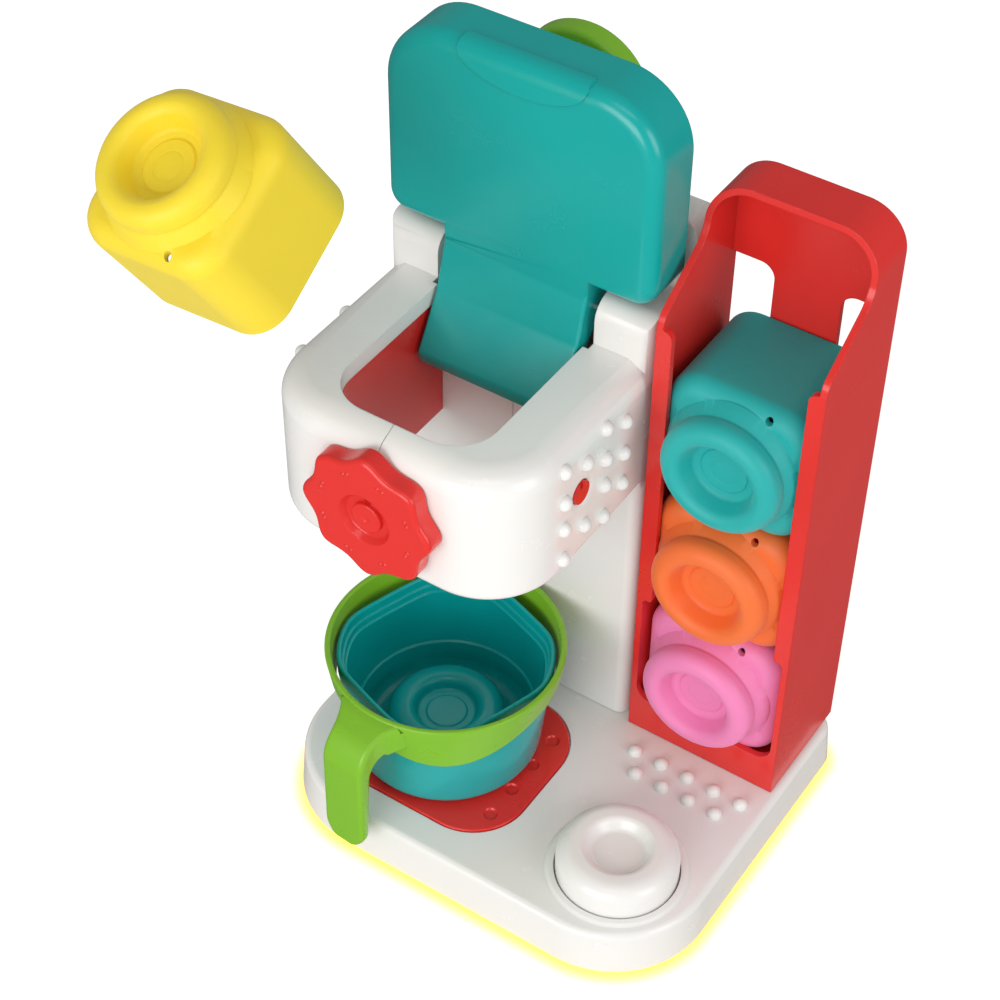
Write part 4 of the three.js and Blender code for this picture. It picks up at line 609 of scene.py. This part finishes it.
def lidOutline(inset, lowExtra=0.0):
    return rectangle(lid["left"] + inset, lid["right"] - inset, lid["low"] + inset, lid["top"] - inset,
                     lid["lowRadius"] - min(inset, 9), lid["topRadius"] - inset)


def lidBlock(grow, front, rear, edge):
    shape = prism(lidOutline(-grow), front, rear, "y", 16)
    roundEdges(shape, lambda p: p.y < front + level, edge, 9)
    return shape


def makeLid():
    x, hingeY, hingeZ, reach = towerMiddle, 40.5, 256.5, 43.0
    shell = lidBlock(0, lid["front"], lid["rear"], lid["edge"])
    tongue = prism([(29.6, 281, 0), (29.6, 267, 8), (hingeY - reach * 0.4, hingeZ - reach * 0.27, 14),
                    (hingeY - reach * 0.74, hingeZ - reach * 0.85, 4), (hingeY - reach * 0.69, hingeZ - reach, 1.5),
                    (hingeY - reach * 0.58, hingeZ - reach, 1.5), (hingeY - reach * 0.5, hingeZ - reach * 0.8, 3),
                    (hingeY - 3.6, hingeZ - 10.1, 4), (hingeY + 7.2, hingeZ - 7.2, 5.8),
                    (hingeY + 7.2, hingeZ + 7.2, 4), (39.9, 281, 0)],
                   x - lid["tongueHalf"], x + lid["tongueHalf"], "x", 10)
    for side in (-1, 1):
        roundEdges(tongue, lambda p: side * (p.x - x) > lid["tongueHalf"] - level and p.z < 280, lid["tongueEdge"], 4)
    shell = join(shell, tongue)
    pad = bmesh.new()
    bmesh.ops.create_circle(pad, cap_ends=True, segments=96, radius=1)
    pull(pad, pad.faces[:], (0, 0, 30))
    bmesh.ops.recalc_face_normals(pad, faces=pad.faces)
    pad.transform(lookAlongY @ Matrix.Diagonal((30, 12.5, 1, 1)))
    pad.transform(Matrix.Translation((x + 1.5, 50, lid["top"] - 1.5)))
    shell = join(shell, common(lidBlock(1.1, lid["front"] - 1.0, lid["front"] + 8, lid["edge"] + 0.6), pad))
    hollow = prism(lidOutline(lid["wall"]), lid["front"] + lid["wall"], lid["rear"] + 4, "y", 12)
    shell = cut(shell, hollow, prism(lidOutline(1.3), lid["rear"] - lid["panel"] - 0.3, lid["rear"] + 4, "y", 12))
    for side in (-1, 1):
        near, far = sorted((x + side * 19.5, x + side * 42))
        shell = cut(shell, rod(2.7, near, far, "x", (hingeY, hingeZ), 32))
    finishPiece(shell, "lidShell", "lid", "tealAbs", ["lid_shell"])
    panel = prism(lidOutline(1.6), lid["rear"] - lid["panel"], lid["rear"], "y", 12)
    outer = [f for f in panel.faces if f.normal.y > 0.9]
    bmesh.ops.inset_region(panel, faces=outer, thickness=2.4, depth=1.3)
    bmesh.ops.inset_region(panel, faces=outer, thickness=3.6, depth=1.0)
    finishPiece(panel, "lidPanel", "lid", "tealAbs", ["lid_top_panel"])


makeLid()


# Carry handle: a green arch on top of the column

handle = {"foot": 281.0, "seat": 285.4, "top": 358.0, "outer": 30.0, "bar": 12.0, "front": 74.0, "rear": 85.0,
          "edge": 2.6}


def makeHandle():
    x, foot, outer, front, rear = towerMiddle, handle["foot"], handle["outer"], handle["front"], handle["rear"]
    arch = prism(rectangle(x - outer, x + outer, foot, handle["top"], 0, outer - 0.3), front, rear, "y", 24)
    roundEdges(arch, lambda p: p.y < front + level and p.z > foot + 1, handle["edge"], 5)
    roundEdges(arch, lambda p: p.y > rear - level and p.z > foot + 1, handle["edge"], 5)
    inner = outer - handle["bar"]
    opening = rectangle(x - inner, x + inner, handle["seat"], handle["top"] - handle["bar"], 0, inner - 0.3)
    arch = cut(arch, prism(opening, front - 14, rear + 14, "y", 20))
    finishPiece(arch, "carryHandle", "machine", "greenPolypropylene", ["carry_handle"])


makeHandle()
print("lid and handle ready")


# Pod rack: a red channel with an arched top, swept front edges, flanges, a lip and two rear windows

rack = {"x": 62.1, "half": 38.5, "front": 28.9, "rear": 88.3, "low": 26.3, "top": 321.5, "topRadius": 19, "wall": 3,
        "floor": 41, "lip": 46, "flange": 7.5, "flangeLow": 112, "flangeTop": 268, "windowLow": 60, "windowTop": 273,
        "window": 20}


def makeRack():
    x, half, wall = rack["x"], rack["half"], rack["wall"]
    inner, front, rear = half - wall, rack["front"], rack["rear"]
    body = prism(rectangle(x - half, x + half, rack["low"], rack["top"], 0, rack["topRadius"]),
                 front - 4, rear, "y", 16)
    side = prism([(front, rack["low"], 0), (rear, rack["low"], 0), (rear, rack["top"], 0),
                  (front + 37, rack["top"], 0),
                  (front + 33, rack["top"] - 26, 15), (front + 1.5, rack["flangeTop"] + 6, 8),
                  (front, rack["flangeTop"], 2)], x - 60, x + 60, "x", 10)
    body = common(body, side)
    channel = prism(rectangle(x - inner, x + inner, rack["floor"], rack["top"] - wall, 2, rack["topRadius"] - wall),
                    front + wall, rear - 2.8, "y", 16)
    edge = half - rack["flange"]
    openFront = prism([(x - inner, rack["lip"], 9), (x + inner, rack["lip"], 9), (x + inner, rack["flangeLow"], 2),
                        (x + edge, rack["flangeLow"], 2), (x + edge, rack["flangeTop"], 4),
                        (x + inner, rack["flangeTop"], 0.8), (x + inner, rack["top"] - wall, 16),
                        (x - inner, rack["top"] - wall, 16), (x - inner, rack["flangeTop"], 0.8),
                        (x - edge, rack["flangeTop"], 4), (x - edge, rack["flangeLow"], 2),
                        (x - inner, rack["flangeLow"], 2)], front - 8, front + wall + 0.2, "y", 8)
    under = block(x - inner, x + inner, front + wall, rear - 2.8, rack["low"] - 4, rack["floor"] - 2.8)
    body = cut(body, channel, openFront, under)
    for sign in (-1, 1):
        outer, far = x + sign * inner, x + sign * (inner - rack["window"])
        corners = [(outer, rack["windowLow"], 0), (far, rack["windowLow"], 7), (far, rack["windowTop"], 7),
                   (outer, rack["windowTop"], 0)]
        body = cut(body, prism(corners if sign < 0 else corners[::-1], rear - 3.1, rear + 4, "y", 8))
    finishPiece(body, "podRack", "machine", "redAbs", ["pod_rack"])


makeRack()
print("rack ready")


# Soft pods: a rounded square cup with a round, dished ring on its closed end; the ring's middle stays plain

pod = {"half": 34.2, "corner": 16, "length": 70, "shoulder": 15.5, "fillet": 8.5, "wall": 2.6, "ring": 21.5,
       "tube": 6.2, "ventX": 14.3, "ventY": 29.5, "vent": 1.75, "front": 15.2, "first": 75.5, "pitch": 68.7}
yellowPod = {"place": (-110.7, -105.4, 378.5), "turns": (31.48, -6.36, 180.86)}  # turns in degrees about X, Y and Z


def podShape(ventX):
    h, wall = pod["half"], pod["wall"]
    body = prism(rectangle(-h, h, -h, h, pod["corner"], pod["corner"]), -pod["length"], -pod["shoulder"], steps=14)
    roundEdges(body, lambda p: p.z > -pod["shoulder"] - 0.01, pod["fillet"], 8)
    roundEdges(body, lambda p: p.z < -pod["length"] + 0.01, 0.8, 3)
    outer = pod["ring"] + pod["tube"]
    neck = spun([(0, -9.2, 0), (5.4, -9.2, 0), (5.8, -9.5, 0), (6.4, -9.5, 0), (6.8, -9.2, 0), (10.6, -9.2, 0.5),
                 (11.2, -10.0, 0.6), (14.6, -9.2, 2.2), (18.2, 0, 4.6), (outer, 0, 6.4), (outer, -8.6, 2.0),
                 (outer - 0.5, -10.0, 1.0), (outer + 3.4, -16.2, 0), (outer + 3.4, -18, 0), (0, -18, 0)],
                steps=96, arc=8)
    body = join(body, neck)
    inner = prism(rectangle(-h + wall, h - wall, -h + wall, h - wall, pod["corner"] - wall, pod["corner"] - wall),
                  -pod["length"] - 4, -pod["shoulder"] - wall, steps=12)
    roundEdges(inner, lambda p: p.z > -pod["shoulder"] - wall - 0.01, 6, 5)
    return cut(body, inner, rod(pod["vent"], -60, 0, centre=(ventX, pod["ventY"]), steps=32))


def makePods():
    sets = (("podPink", "pink_pod", "pod_pink", "soft_pink", "pinkVinyl"),
            ("podOrange", "orange_pod", "pod_orange", "soft_orange", "orangeVinyl"),
            ("podTeal", "teal_pod", "pod_teal", "soft_teal", "tealVinyl"))
    for i, (name, body, node, slot, finish) in enumerate(sets):
        spot = (rack["x"], pod["front"], pod["first"] + i * pod["pitch"])
        place = Matrix.Translation(spot) @ Matrix.Rotation(math.pi / 2, 4, "X")
        finishPiece(podShape(pod["ventX"]), name, body, finish, [node], place=place)
    tilt, turn, roll = (math.radians(a) for a in yellowPod["turns"])
    place = (Matrix.Translation(yellowPod["place"]) @ Matrix.Rotation(tilt, 4, "X")
             @ Matrix.Rotation(turn, 4, "Y") @ Matrix.Rotation(roll, 4, "Z"))
    finishPiece(podShape(-pod["ventX"]), "podYellow", "yellow_pod", "yellowVinyl", ["pod_yellow"],
                place=place)


makePods()
print("pods ready")


# Cup: four flats at the mouth that fade into a round body, step lines inside, a dished ring on the floor

cup = {"x": -43.4, "y": -25.5, "low": 27.1, "rim": 84.5, "outer": 50.0, "foot": 44.5, "flat": 45.4, "turn": 18.6,
       "wall": 2.2}


def flatten(bm, fromZ, toZ):
    # pulls the wall in onto four flats, fully at toZ and not at all at fromZ
    for vert in bm.verts:
        share = min(max((vert.co.z - fromZ) / (toZ - fromZ), 0), 1)
        radius = math.hypot(vert.co.x, vert.co.y)
        if not share or radius < 30:
            continue
        share = share * share * (3 - 2 * share)
        around = (math.atan2(vert.co.y, vert.co.x) + math.radians(cup["turn"])) % (math.pi / 2)
        away = min(around, math.pi / 2 - around)
        straight = cup["flat"] / cup["outer"] / math.cos(away)
        blend = 0.05
        pulled = (1 + straight - math.sqrt((1 - straight) ** 2 + blend * blend)) / 2 + blend / 2 * 0.2
        factor = 1 + (min(pulled, 1) - 1) * share
        vert.co.x *= factor
        vert.co.y *= factor


def makeCup():
    low, rim, foot, outer = cup["low"], cup["rim"], cup["foot"], cup["outer"]
    shape = spun([(0, 39.8, 0), (13, 39.8, 2), (16, 44.4, 2.5), (24.4, 45, 4), (25, low, 0.8),
                  (foot - 0.5, low, 7), (foot + 2.4, 56, 0), (outer - 0.3, 76, 0), (outer, rim, 1.0),
                  (outer - cup["wall"], rim, 1.0), (outer - 2.6, rim - 4.6, 0.3),
                  (outer - 3.5, rim - 5.2, 0.3), (outer - 3.8, rim - 8.4, 0.3), (outer - 4.7, rim - 9.0, 0.3),
                  (outer - 5.6, 60, 0), (foot - 2.6, 46, 0.3), (foot - 3.6, 45.2, 0.3), (foot - 4.4, 29.3, 7),
                  (28, 29.3, 2), (27.4, 48.4, 6.6), (15.6, 48, 4.2), (13.6, 42.2, 1.6), (9.8, 42.2, 0.5),
                  (9.2, 42.9, 0.4), (0, 42.9, 0)], steps=144, arc=7)
    flatten(shape, 52, 77)
    place = Matrix.Translation((cup["x"], cup["y"], 0))
    finishPiece(shape, "cup", "cup", "tealPolypropylene", ["cup"], place=place, sharp=60)


# Cup holder: a tapered band with a waved lower edge, and a strap handle that hangs from its rim

holder = {"top": 91.0, "middle": 71.2, "radius": 55.2, "wall": 2.8, "taper": 2.4, "wave": 5.6, "waves": 3,
          "waveTurn": -57.0, "grabTurn": -4.0, "grabHalf": 11.2, "grabEdge": 2.5, "grabTip": 11.0,
          "grabFoot": 20.0}


def makeHolder():
    top, radius, wall, taper = holder["top"], holder["radius"], holder["wall"], holder["taper"]
    low = holder["middle"]
    waist = (top + low) / 2
    band = spun([(radius, top, 1.1), (radius - wall, top, 1.1), (radius - wall - taper * 0.5, waist, 0),
                 (radius - wall - taper, low, 0.6), (radius - taper, low, 0.6), (radius - taper * 0.5, waist, 0)],
                steps=144, arc=4)
    for vert in band.verts:
        share = min(max((top - 2 - vert.co.z) / (top - 2 - low), 0), 1)
        around = math.atan2(vert.co.y, vert.co.x) - math.radians(holder["waveTurn"])
        vert.co.z -= holder["wave"] * math.cos(holder["waves"] * around) * share
    half, tip, foot = holder["grabHalf"], holder["grabTip"], holder["grabFoot"]
    strap = prism([(-44, top - 0.6, 0), (-44, top - 12, 0), (-66.5, top - 17.5, 12), (-69.8, foot, 2.2),
                   (-75.2, foot, 2.2), (-74.4, top - 8.5, 17), (-56, top - 0.9, 16)], -half, half, "x", 12)
    for side in (-1, 1):
        roundEdges(strap, lambda p: side * p.x > half - level and p.y < -44.1, holder["grabEdge"], 5)
    for step in range(1, 13):
        height = foot + tip * (1 - math.cos(math.pi / 2 * step / 12))
        bmesh.ops.bisect_plane(strap, geom=strap.verts[:] + strap.edges[:] + strap.faces[:], plane_co=(0, 0, height),
                               plane_no=(0, 0, 1))
    for step in range(6):
        bmesh.ops.bisect_plane(strap, geom=strap.verts[:] + strap.edges[:] + strap.faces[:],
                               plane_co=(0, -68 + step * 3.2, 0), plane_no=(0, 1, 0))
    for vert in strap.verts:  # round tip below, flare where the strap meets the band
        drop = min(max((foot + tip - vert.co.z) / tip, 0), 1)
        flare = min(max((vert.co.y + 68) / 18, 0), 1)
        vert.co.x *= max(math.sqrt(1 - drop * drop), 0.12) * (1 + 0.75 * flare * flare)
    strap.normal_update()
    strap.transform(Matrix.Rotation(math.radians(holder["grabTurn"]), 4, "Z"))
    strap = cut(strap, rod(radius - wall - taper + 0.3, 10, 120, steps=144, tip=radius - wall + 1.0))
    whole = join(band, strap)
    place = Matrix.Translation((cup["x"], cup["y"], 0))
    finishPiece(whole, "cupHolder", "holder", "greenPolypropylene", ["cup_holder"], place=place)


makeCup()
makeHolder()
print("cup and holder ready")


# CAD nodes that stay: a finish for each, by how its name starts

nodeFinishes = (("foot", "footRubber"), ("base_bottom_plate", "whiteAbs"), ("battery_door_screw", "zincSteel"),
                ("battery_door", "whiteAbs"), ("battery_contact", "zincSteel"), ("battery_box", "darkAbs"),
                ("battery", "batteryJacket"), ("circuit_board", "boardLacquer"), ("led", "litDiffuser"),
                ("speaker", "darkAbs"), ("button_switch", "darkAbs"), ("button_spring", "zincSteel"),
                ("click_spring", "zincSteel"), ("click_wheel", "whiteAbs"), ("knob_shaft", "redAbs"),
                ("lid_hinge_pin", "zincSteel"), ("bottom_screw", "zincSteel"), ("tower_screw", "zincSteel"),
                ("rack_screw", "zincSteel"), ("knob_screw", "zincSteel"))
for name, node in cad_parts.items():
    found = [finish for start, finish in nodeFinishes if name.startswith(start)]
    if found:
        node.data.materials.clear()
        node.data.materials.append(finishes[found[0]])
print("carried nodes finished")


# Floor, light and camera. The floor and the world are darker to mirrored rays, so that colours stay clear; the floor
# carries a painted warm glow around the base

# painted glow on the floor around the base: how far out it fades, how far under the base it starts, and its colour
glow = {"reach": 10.0, "under": 3.0, "colour": "#ffe48c"}


def paintedGlowShare(tree, place):
    # how much painted warm glow the floor takes, by distance from the base's outline: a painted pool of light that
    # stands in for the light ring's light
    spot = addNode(tree, "ShaderNodeSeparateXYZ", {}, {"Vector": place})
    atRear = addNode(tree, "ShaderNodeMath", {"operation": "GREATER_THAN", 1: 0.0}, {0: spot.outputs["Y"]})
    corner = addNode(tree, "ShaderNodeMapRange",
                     {"To Min": base["frontRadius"] * mm, "To Max": base["rearRadius"] * mm},
                     {"Value": atRear.outputs["Value"]})
    squares = []
    for axis, half in (("X", base["halfWidth"]), ("Y", base["halfDepth"])):
        straight = addNode(tree, "ShaderNodeMath", {"operation": "SUBTRACT", 0: half * mm},
                           {1: corner.outputs["Result"]})
        along = addNode(tree, "ShaderNodeMath", {"operation": "ABSOLUTE"}, {0: spot.outputs[axis]})
        over = addNode(tree, "ShaderNodeMath", {"operation": "SUBTRACT"},
                       {0: along.outputs["Value"], 1: straight.outputs["Value"]})
        past = addNode(tree, "ShaderNodeMath", {"operation": "MAXIMUM", 1: 0.0}, {0: over.outputs["Value"]})
        squares.append(addNode(tree, "ShaderNodeMath", {"operation": "POWER", 1: 2.0}, {0: past.outputs["Value"]}))
    total = addNode(tree, "ShaderNodeMath", {"operation": "ADD"},
                    {0: squares[0].outputs["Value"], 1: squares[1].outputs["Value"]})
    reach = addNode(tree, "ShaderNodeMath", {"operation": "SQRT"}, {0: total.outputs["Value"]})
    away = addNode(tree, "ShaderNodeMath", {"operation": "SUBTRACT"},
                   {0: reach.outputs["Value"], 1: corner.outputs["Result"]})
    fade = addNode(tree, "ShaderNodeMapRange",
                   {"interpolation_type": "SMOOTHERSTEP", "From Min": -glow["under"] * mm,
                    "From Max": glow["reach"] * mm, "To Min": 1.0, "To Max": 0.0}, {"Value": away.outputs["Value"]})
    return fade.outputs["Result"]


def makeFloor():
    bm = bmesh.new()
    bmesh.ops.create_grid(bm, x_segments=1, y_segments=1, size=6)
    bmesh.ops.translate(bm, verts=bm.verts, vec=(0, 0, -1.2 * mm))
    floor = asObject(bm, "floor")
    material, tree, output = newMaterial("paleFloor")
    place = addNode(tree, "ShaderNodeTexCoord").outputs["Object"]
    haze = addNode(tree, "ShaderNodeTexNoise", {"Scale": 2.0, "Detail": 1.0}, {"Vector": place})
    tint = addNode(tree, "ShaderNodeMix", {"data_type": "RGBA", 6: linear("#f6f6f5"), 7: linear("#f9f9f8")},
                   {0: haze.outputs["Fac"]})
    path = addNode(tree, "ShaderNodeLightPath")
    share = paintedGlowShare(tree, place)
    # painted glow: near the base the floor's colour and its white lift are mixed towards the glow colour
    paintedGlowColour = addNode(tree, "ShaderNodeMix", {"data_type": "RGBA", 7: linear(glow["colour"])},
                   {0: share, 6: tint.outputs[2]})
    dim = addNode(tree, "ShaderNodeMix", {"data_type": "RGBA", 7: linear("#7c7c7b")},
                  {0: path.outputs["Is Glossy Ray"], 6: paintedGlowColour.outputs[2]})
    paint = addNode(tree, "ShaderNodeBsdfDiffuse", {}, {"Color": dim.outputs[2]})
    paintedGlowLift = addNode(tree, "ShaderNodeMix", {"data_type": "RGBA", 6: (1, 1, 1, 1), 7: linear(glow["colour"])},
                     {0: share})
    lift = addNode(tree, "ShaderNodeEmission", {"Strength": 0.46}, {"Color": paintedGlowLift.outputs[2]})
    both = addNode(tree, "ShaderNodeAddShader", {}, {0: paint.outputs["BSDF"], 1: lift.outputs["Emission"]})
    seen = addNode(tree, "ShaderNodeMixShader", {}, {0: path.outputs["Is Camera Ray"], 1: paint.outputs["BSDF"],
                                                     2: both.outputs["Shader"]})
    tree.links.new(seen.outputs["Shader"], output.inputs["Surface"])
    floor.data.materials.append(material)


def makeWorld():
    world = bpy.data.worlds.new("studio")
    bpy.context.scene.world = world
    world.use_nodes = True
    tree = world.node_tree
    tree.nodes.clear()
    output = addNode(tree, "ShaderNodeOutputWorld")
    soft = addNode(tree, "ShaderNodeBackground", {"Color": (1, 1, 1, 1), "Strength": 0.56})
    mirrored = addNode(tree, "ShaderNodeBackground", {"Color": (1, 1, 1, 1), "Strength": 0.2})
    white = addNode(tree, "ShaderNodeBackground", {"Color": (1, 1, 1, 1), "Strength": 1.0})
    path = addNode(tree, "ShaderNodeLightPath")
    direct = addNode(tree, "ShaderNodeMath", {"operation": "MAXIMUM"},
                     {0: path.outputs["Is Camera Ray"], 1: path.outputs["Is Transmission Ray"]})
    around = addNode(tree, "ShaderNodeMixShader", {},
                     {0: path.outputs["Is Glossy Ray"], 1: soft.outputs["Background"],
                      2: mirrored.outputs["Background"]})
    mixed = addNode(tree, "ShaderNodeMixShader", {},
                    {0: direct.outputs["Value"], 1: around.outputs["Shader"], 2: white.outputs["Background"]})
    tree.links.new(mixed.outputs["Shader"], output.inputs["Surface"])


lamps = {  # azimuth and elevation as seen from the object, distance, width, height, watts
    "keyLamp": (2, 14, 1.6, 1.3, 0.8, 12.0),
    "highLamp": (25, 58, 1.5, 0.9, 0.35, 1.6),
    "rightLamp": (80, 22, 1.6, 0.7, 0.9, 6.0),
}


def makeLamps():
    target = Vector((0, 0, 0.16))
    for name, (azimuth, elevation, distance, width, height, power) in lamps.items():
        a, e = math.radians(azimuth), math.radians(elevation)
        back = Vector((math.sin(a) * math.cos(e), -math.cos(a) * math.cos(e), math.sin(e)))
        data = bpy.data.lights.new(name, "AREA")
        data.shape, data.size, data.size_y, data.energy = "RECTANGLE", width, height, power
        lamp = bpy.data.objects.new(name, data)
        lamp.location = target + back * distance
        lamp.rotation_euler = back.to_track_quat("Z", "Y").to_euler()
        bpy.context.scene.collection.objects.link(lamp)


camera = {"azimuth": 33.32, "elevation": 44.0, "roll": 0.624, "lens": 82.19, "sensor": 36.0, "frame": 1000,
          "anchor": (0.106, -0.089, 0.0), "pixel": (645.5, 1011.3), "distance": 1.0}


def makeCamera():
    a, e, roll = (math.radians(camera[k]) for k in ("azimuth", "elevation", "roll"))
    back = Vector((math.sin(a) * math.cos(e), -math.cos(a) * math.cos(e), math.sin(e)))
    right = (-back).cross(Vector((0, 0, 1))).normalized()
    up = right.cross(-back)
    x = right * math.cos(roll) + up * math.sin(roll)
    y = up * math.cos(roll) - right * math.sin(roll)
    perPixel = camera["sensor"] / camera["lens"] / camera["frame"]
    half = camera["frame"] / 2
    ray = -back + x * ((camera["pixel"][0] - half) * perPixel) - y * ((camera["pixel"][1] - half) * perPixel)
    place = Vector(camera["anchor"]) - ray * camera["distance"]
    data = bpy.data.cameras.new("photoCamera")
    data.lens, data.sensor_width, data.clip_start, data.clip_end = camera["lens"], camera["sensor"], 0.05, 20
    made = bpy.data.objects.new("photoCamera", data)
    turn = Matrix((x, y, back)).transposed().to_4x4()
    made.matrix_world = Matrix.Translation(place) @ turn
    bpy.context.scene.collection.objects.link(made)
    bpy.context.scene.camera = made


makeFloor()
makeWorld()
makeLamps()
makeCamera()
bpy.context.scene.view_settings.view_transform = "Standard"
print("stage ready")
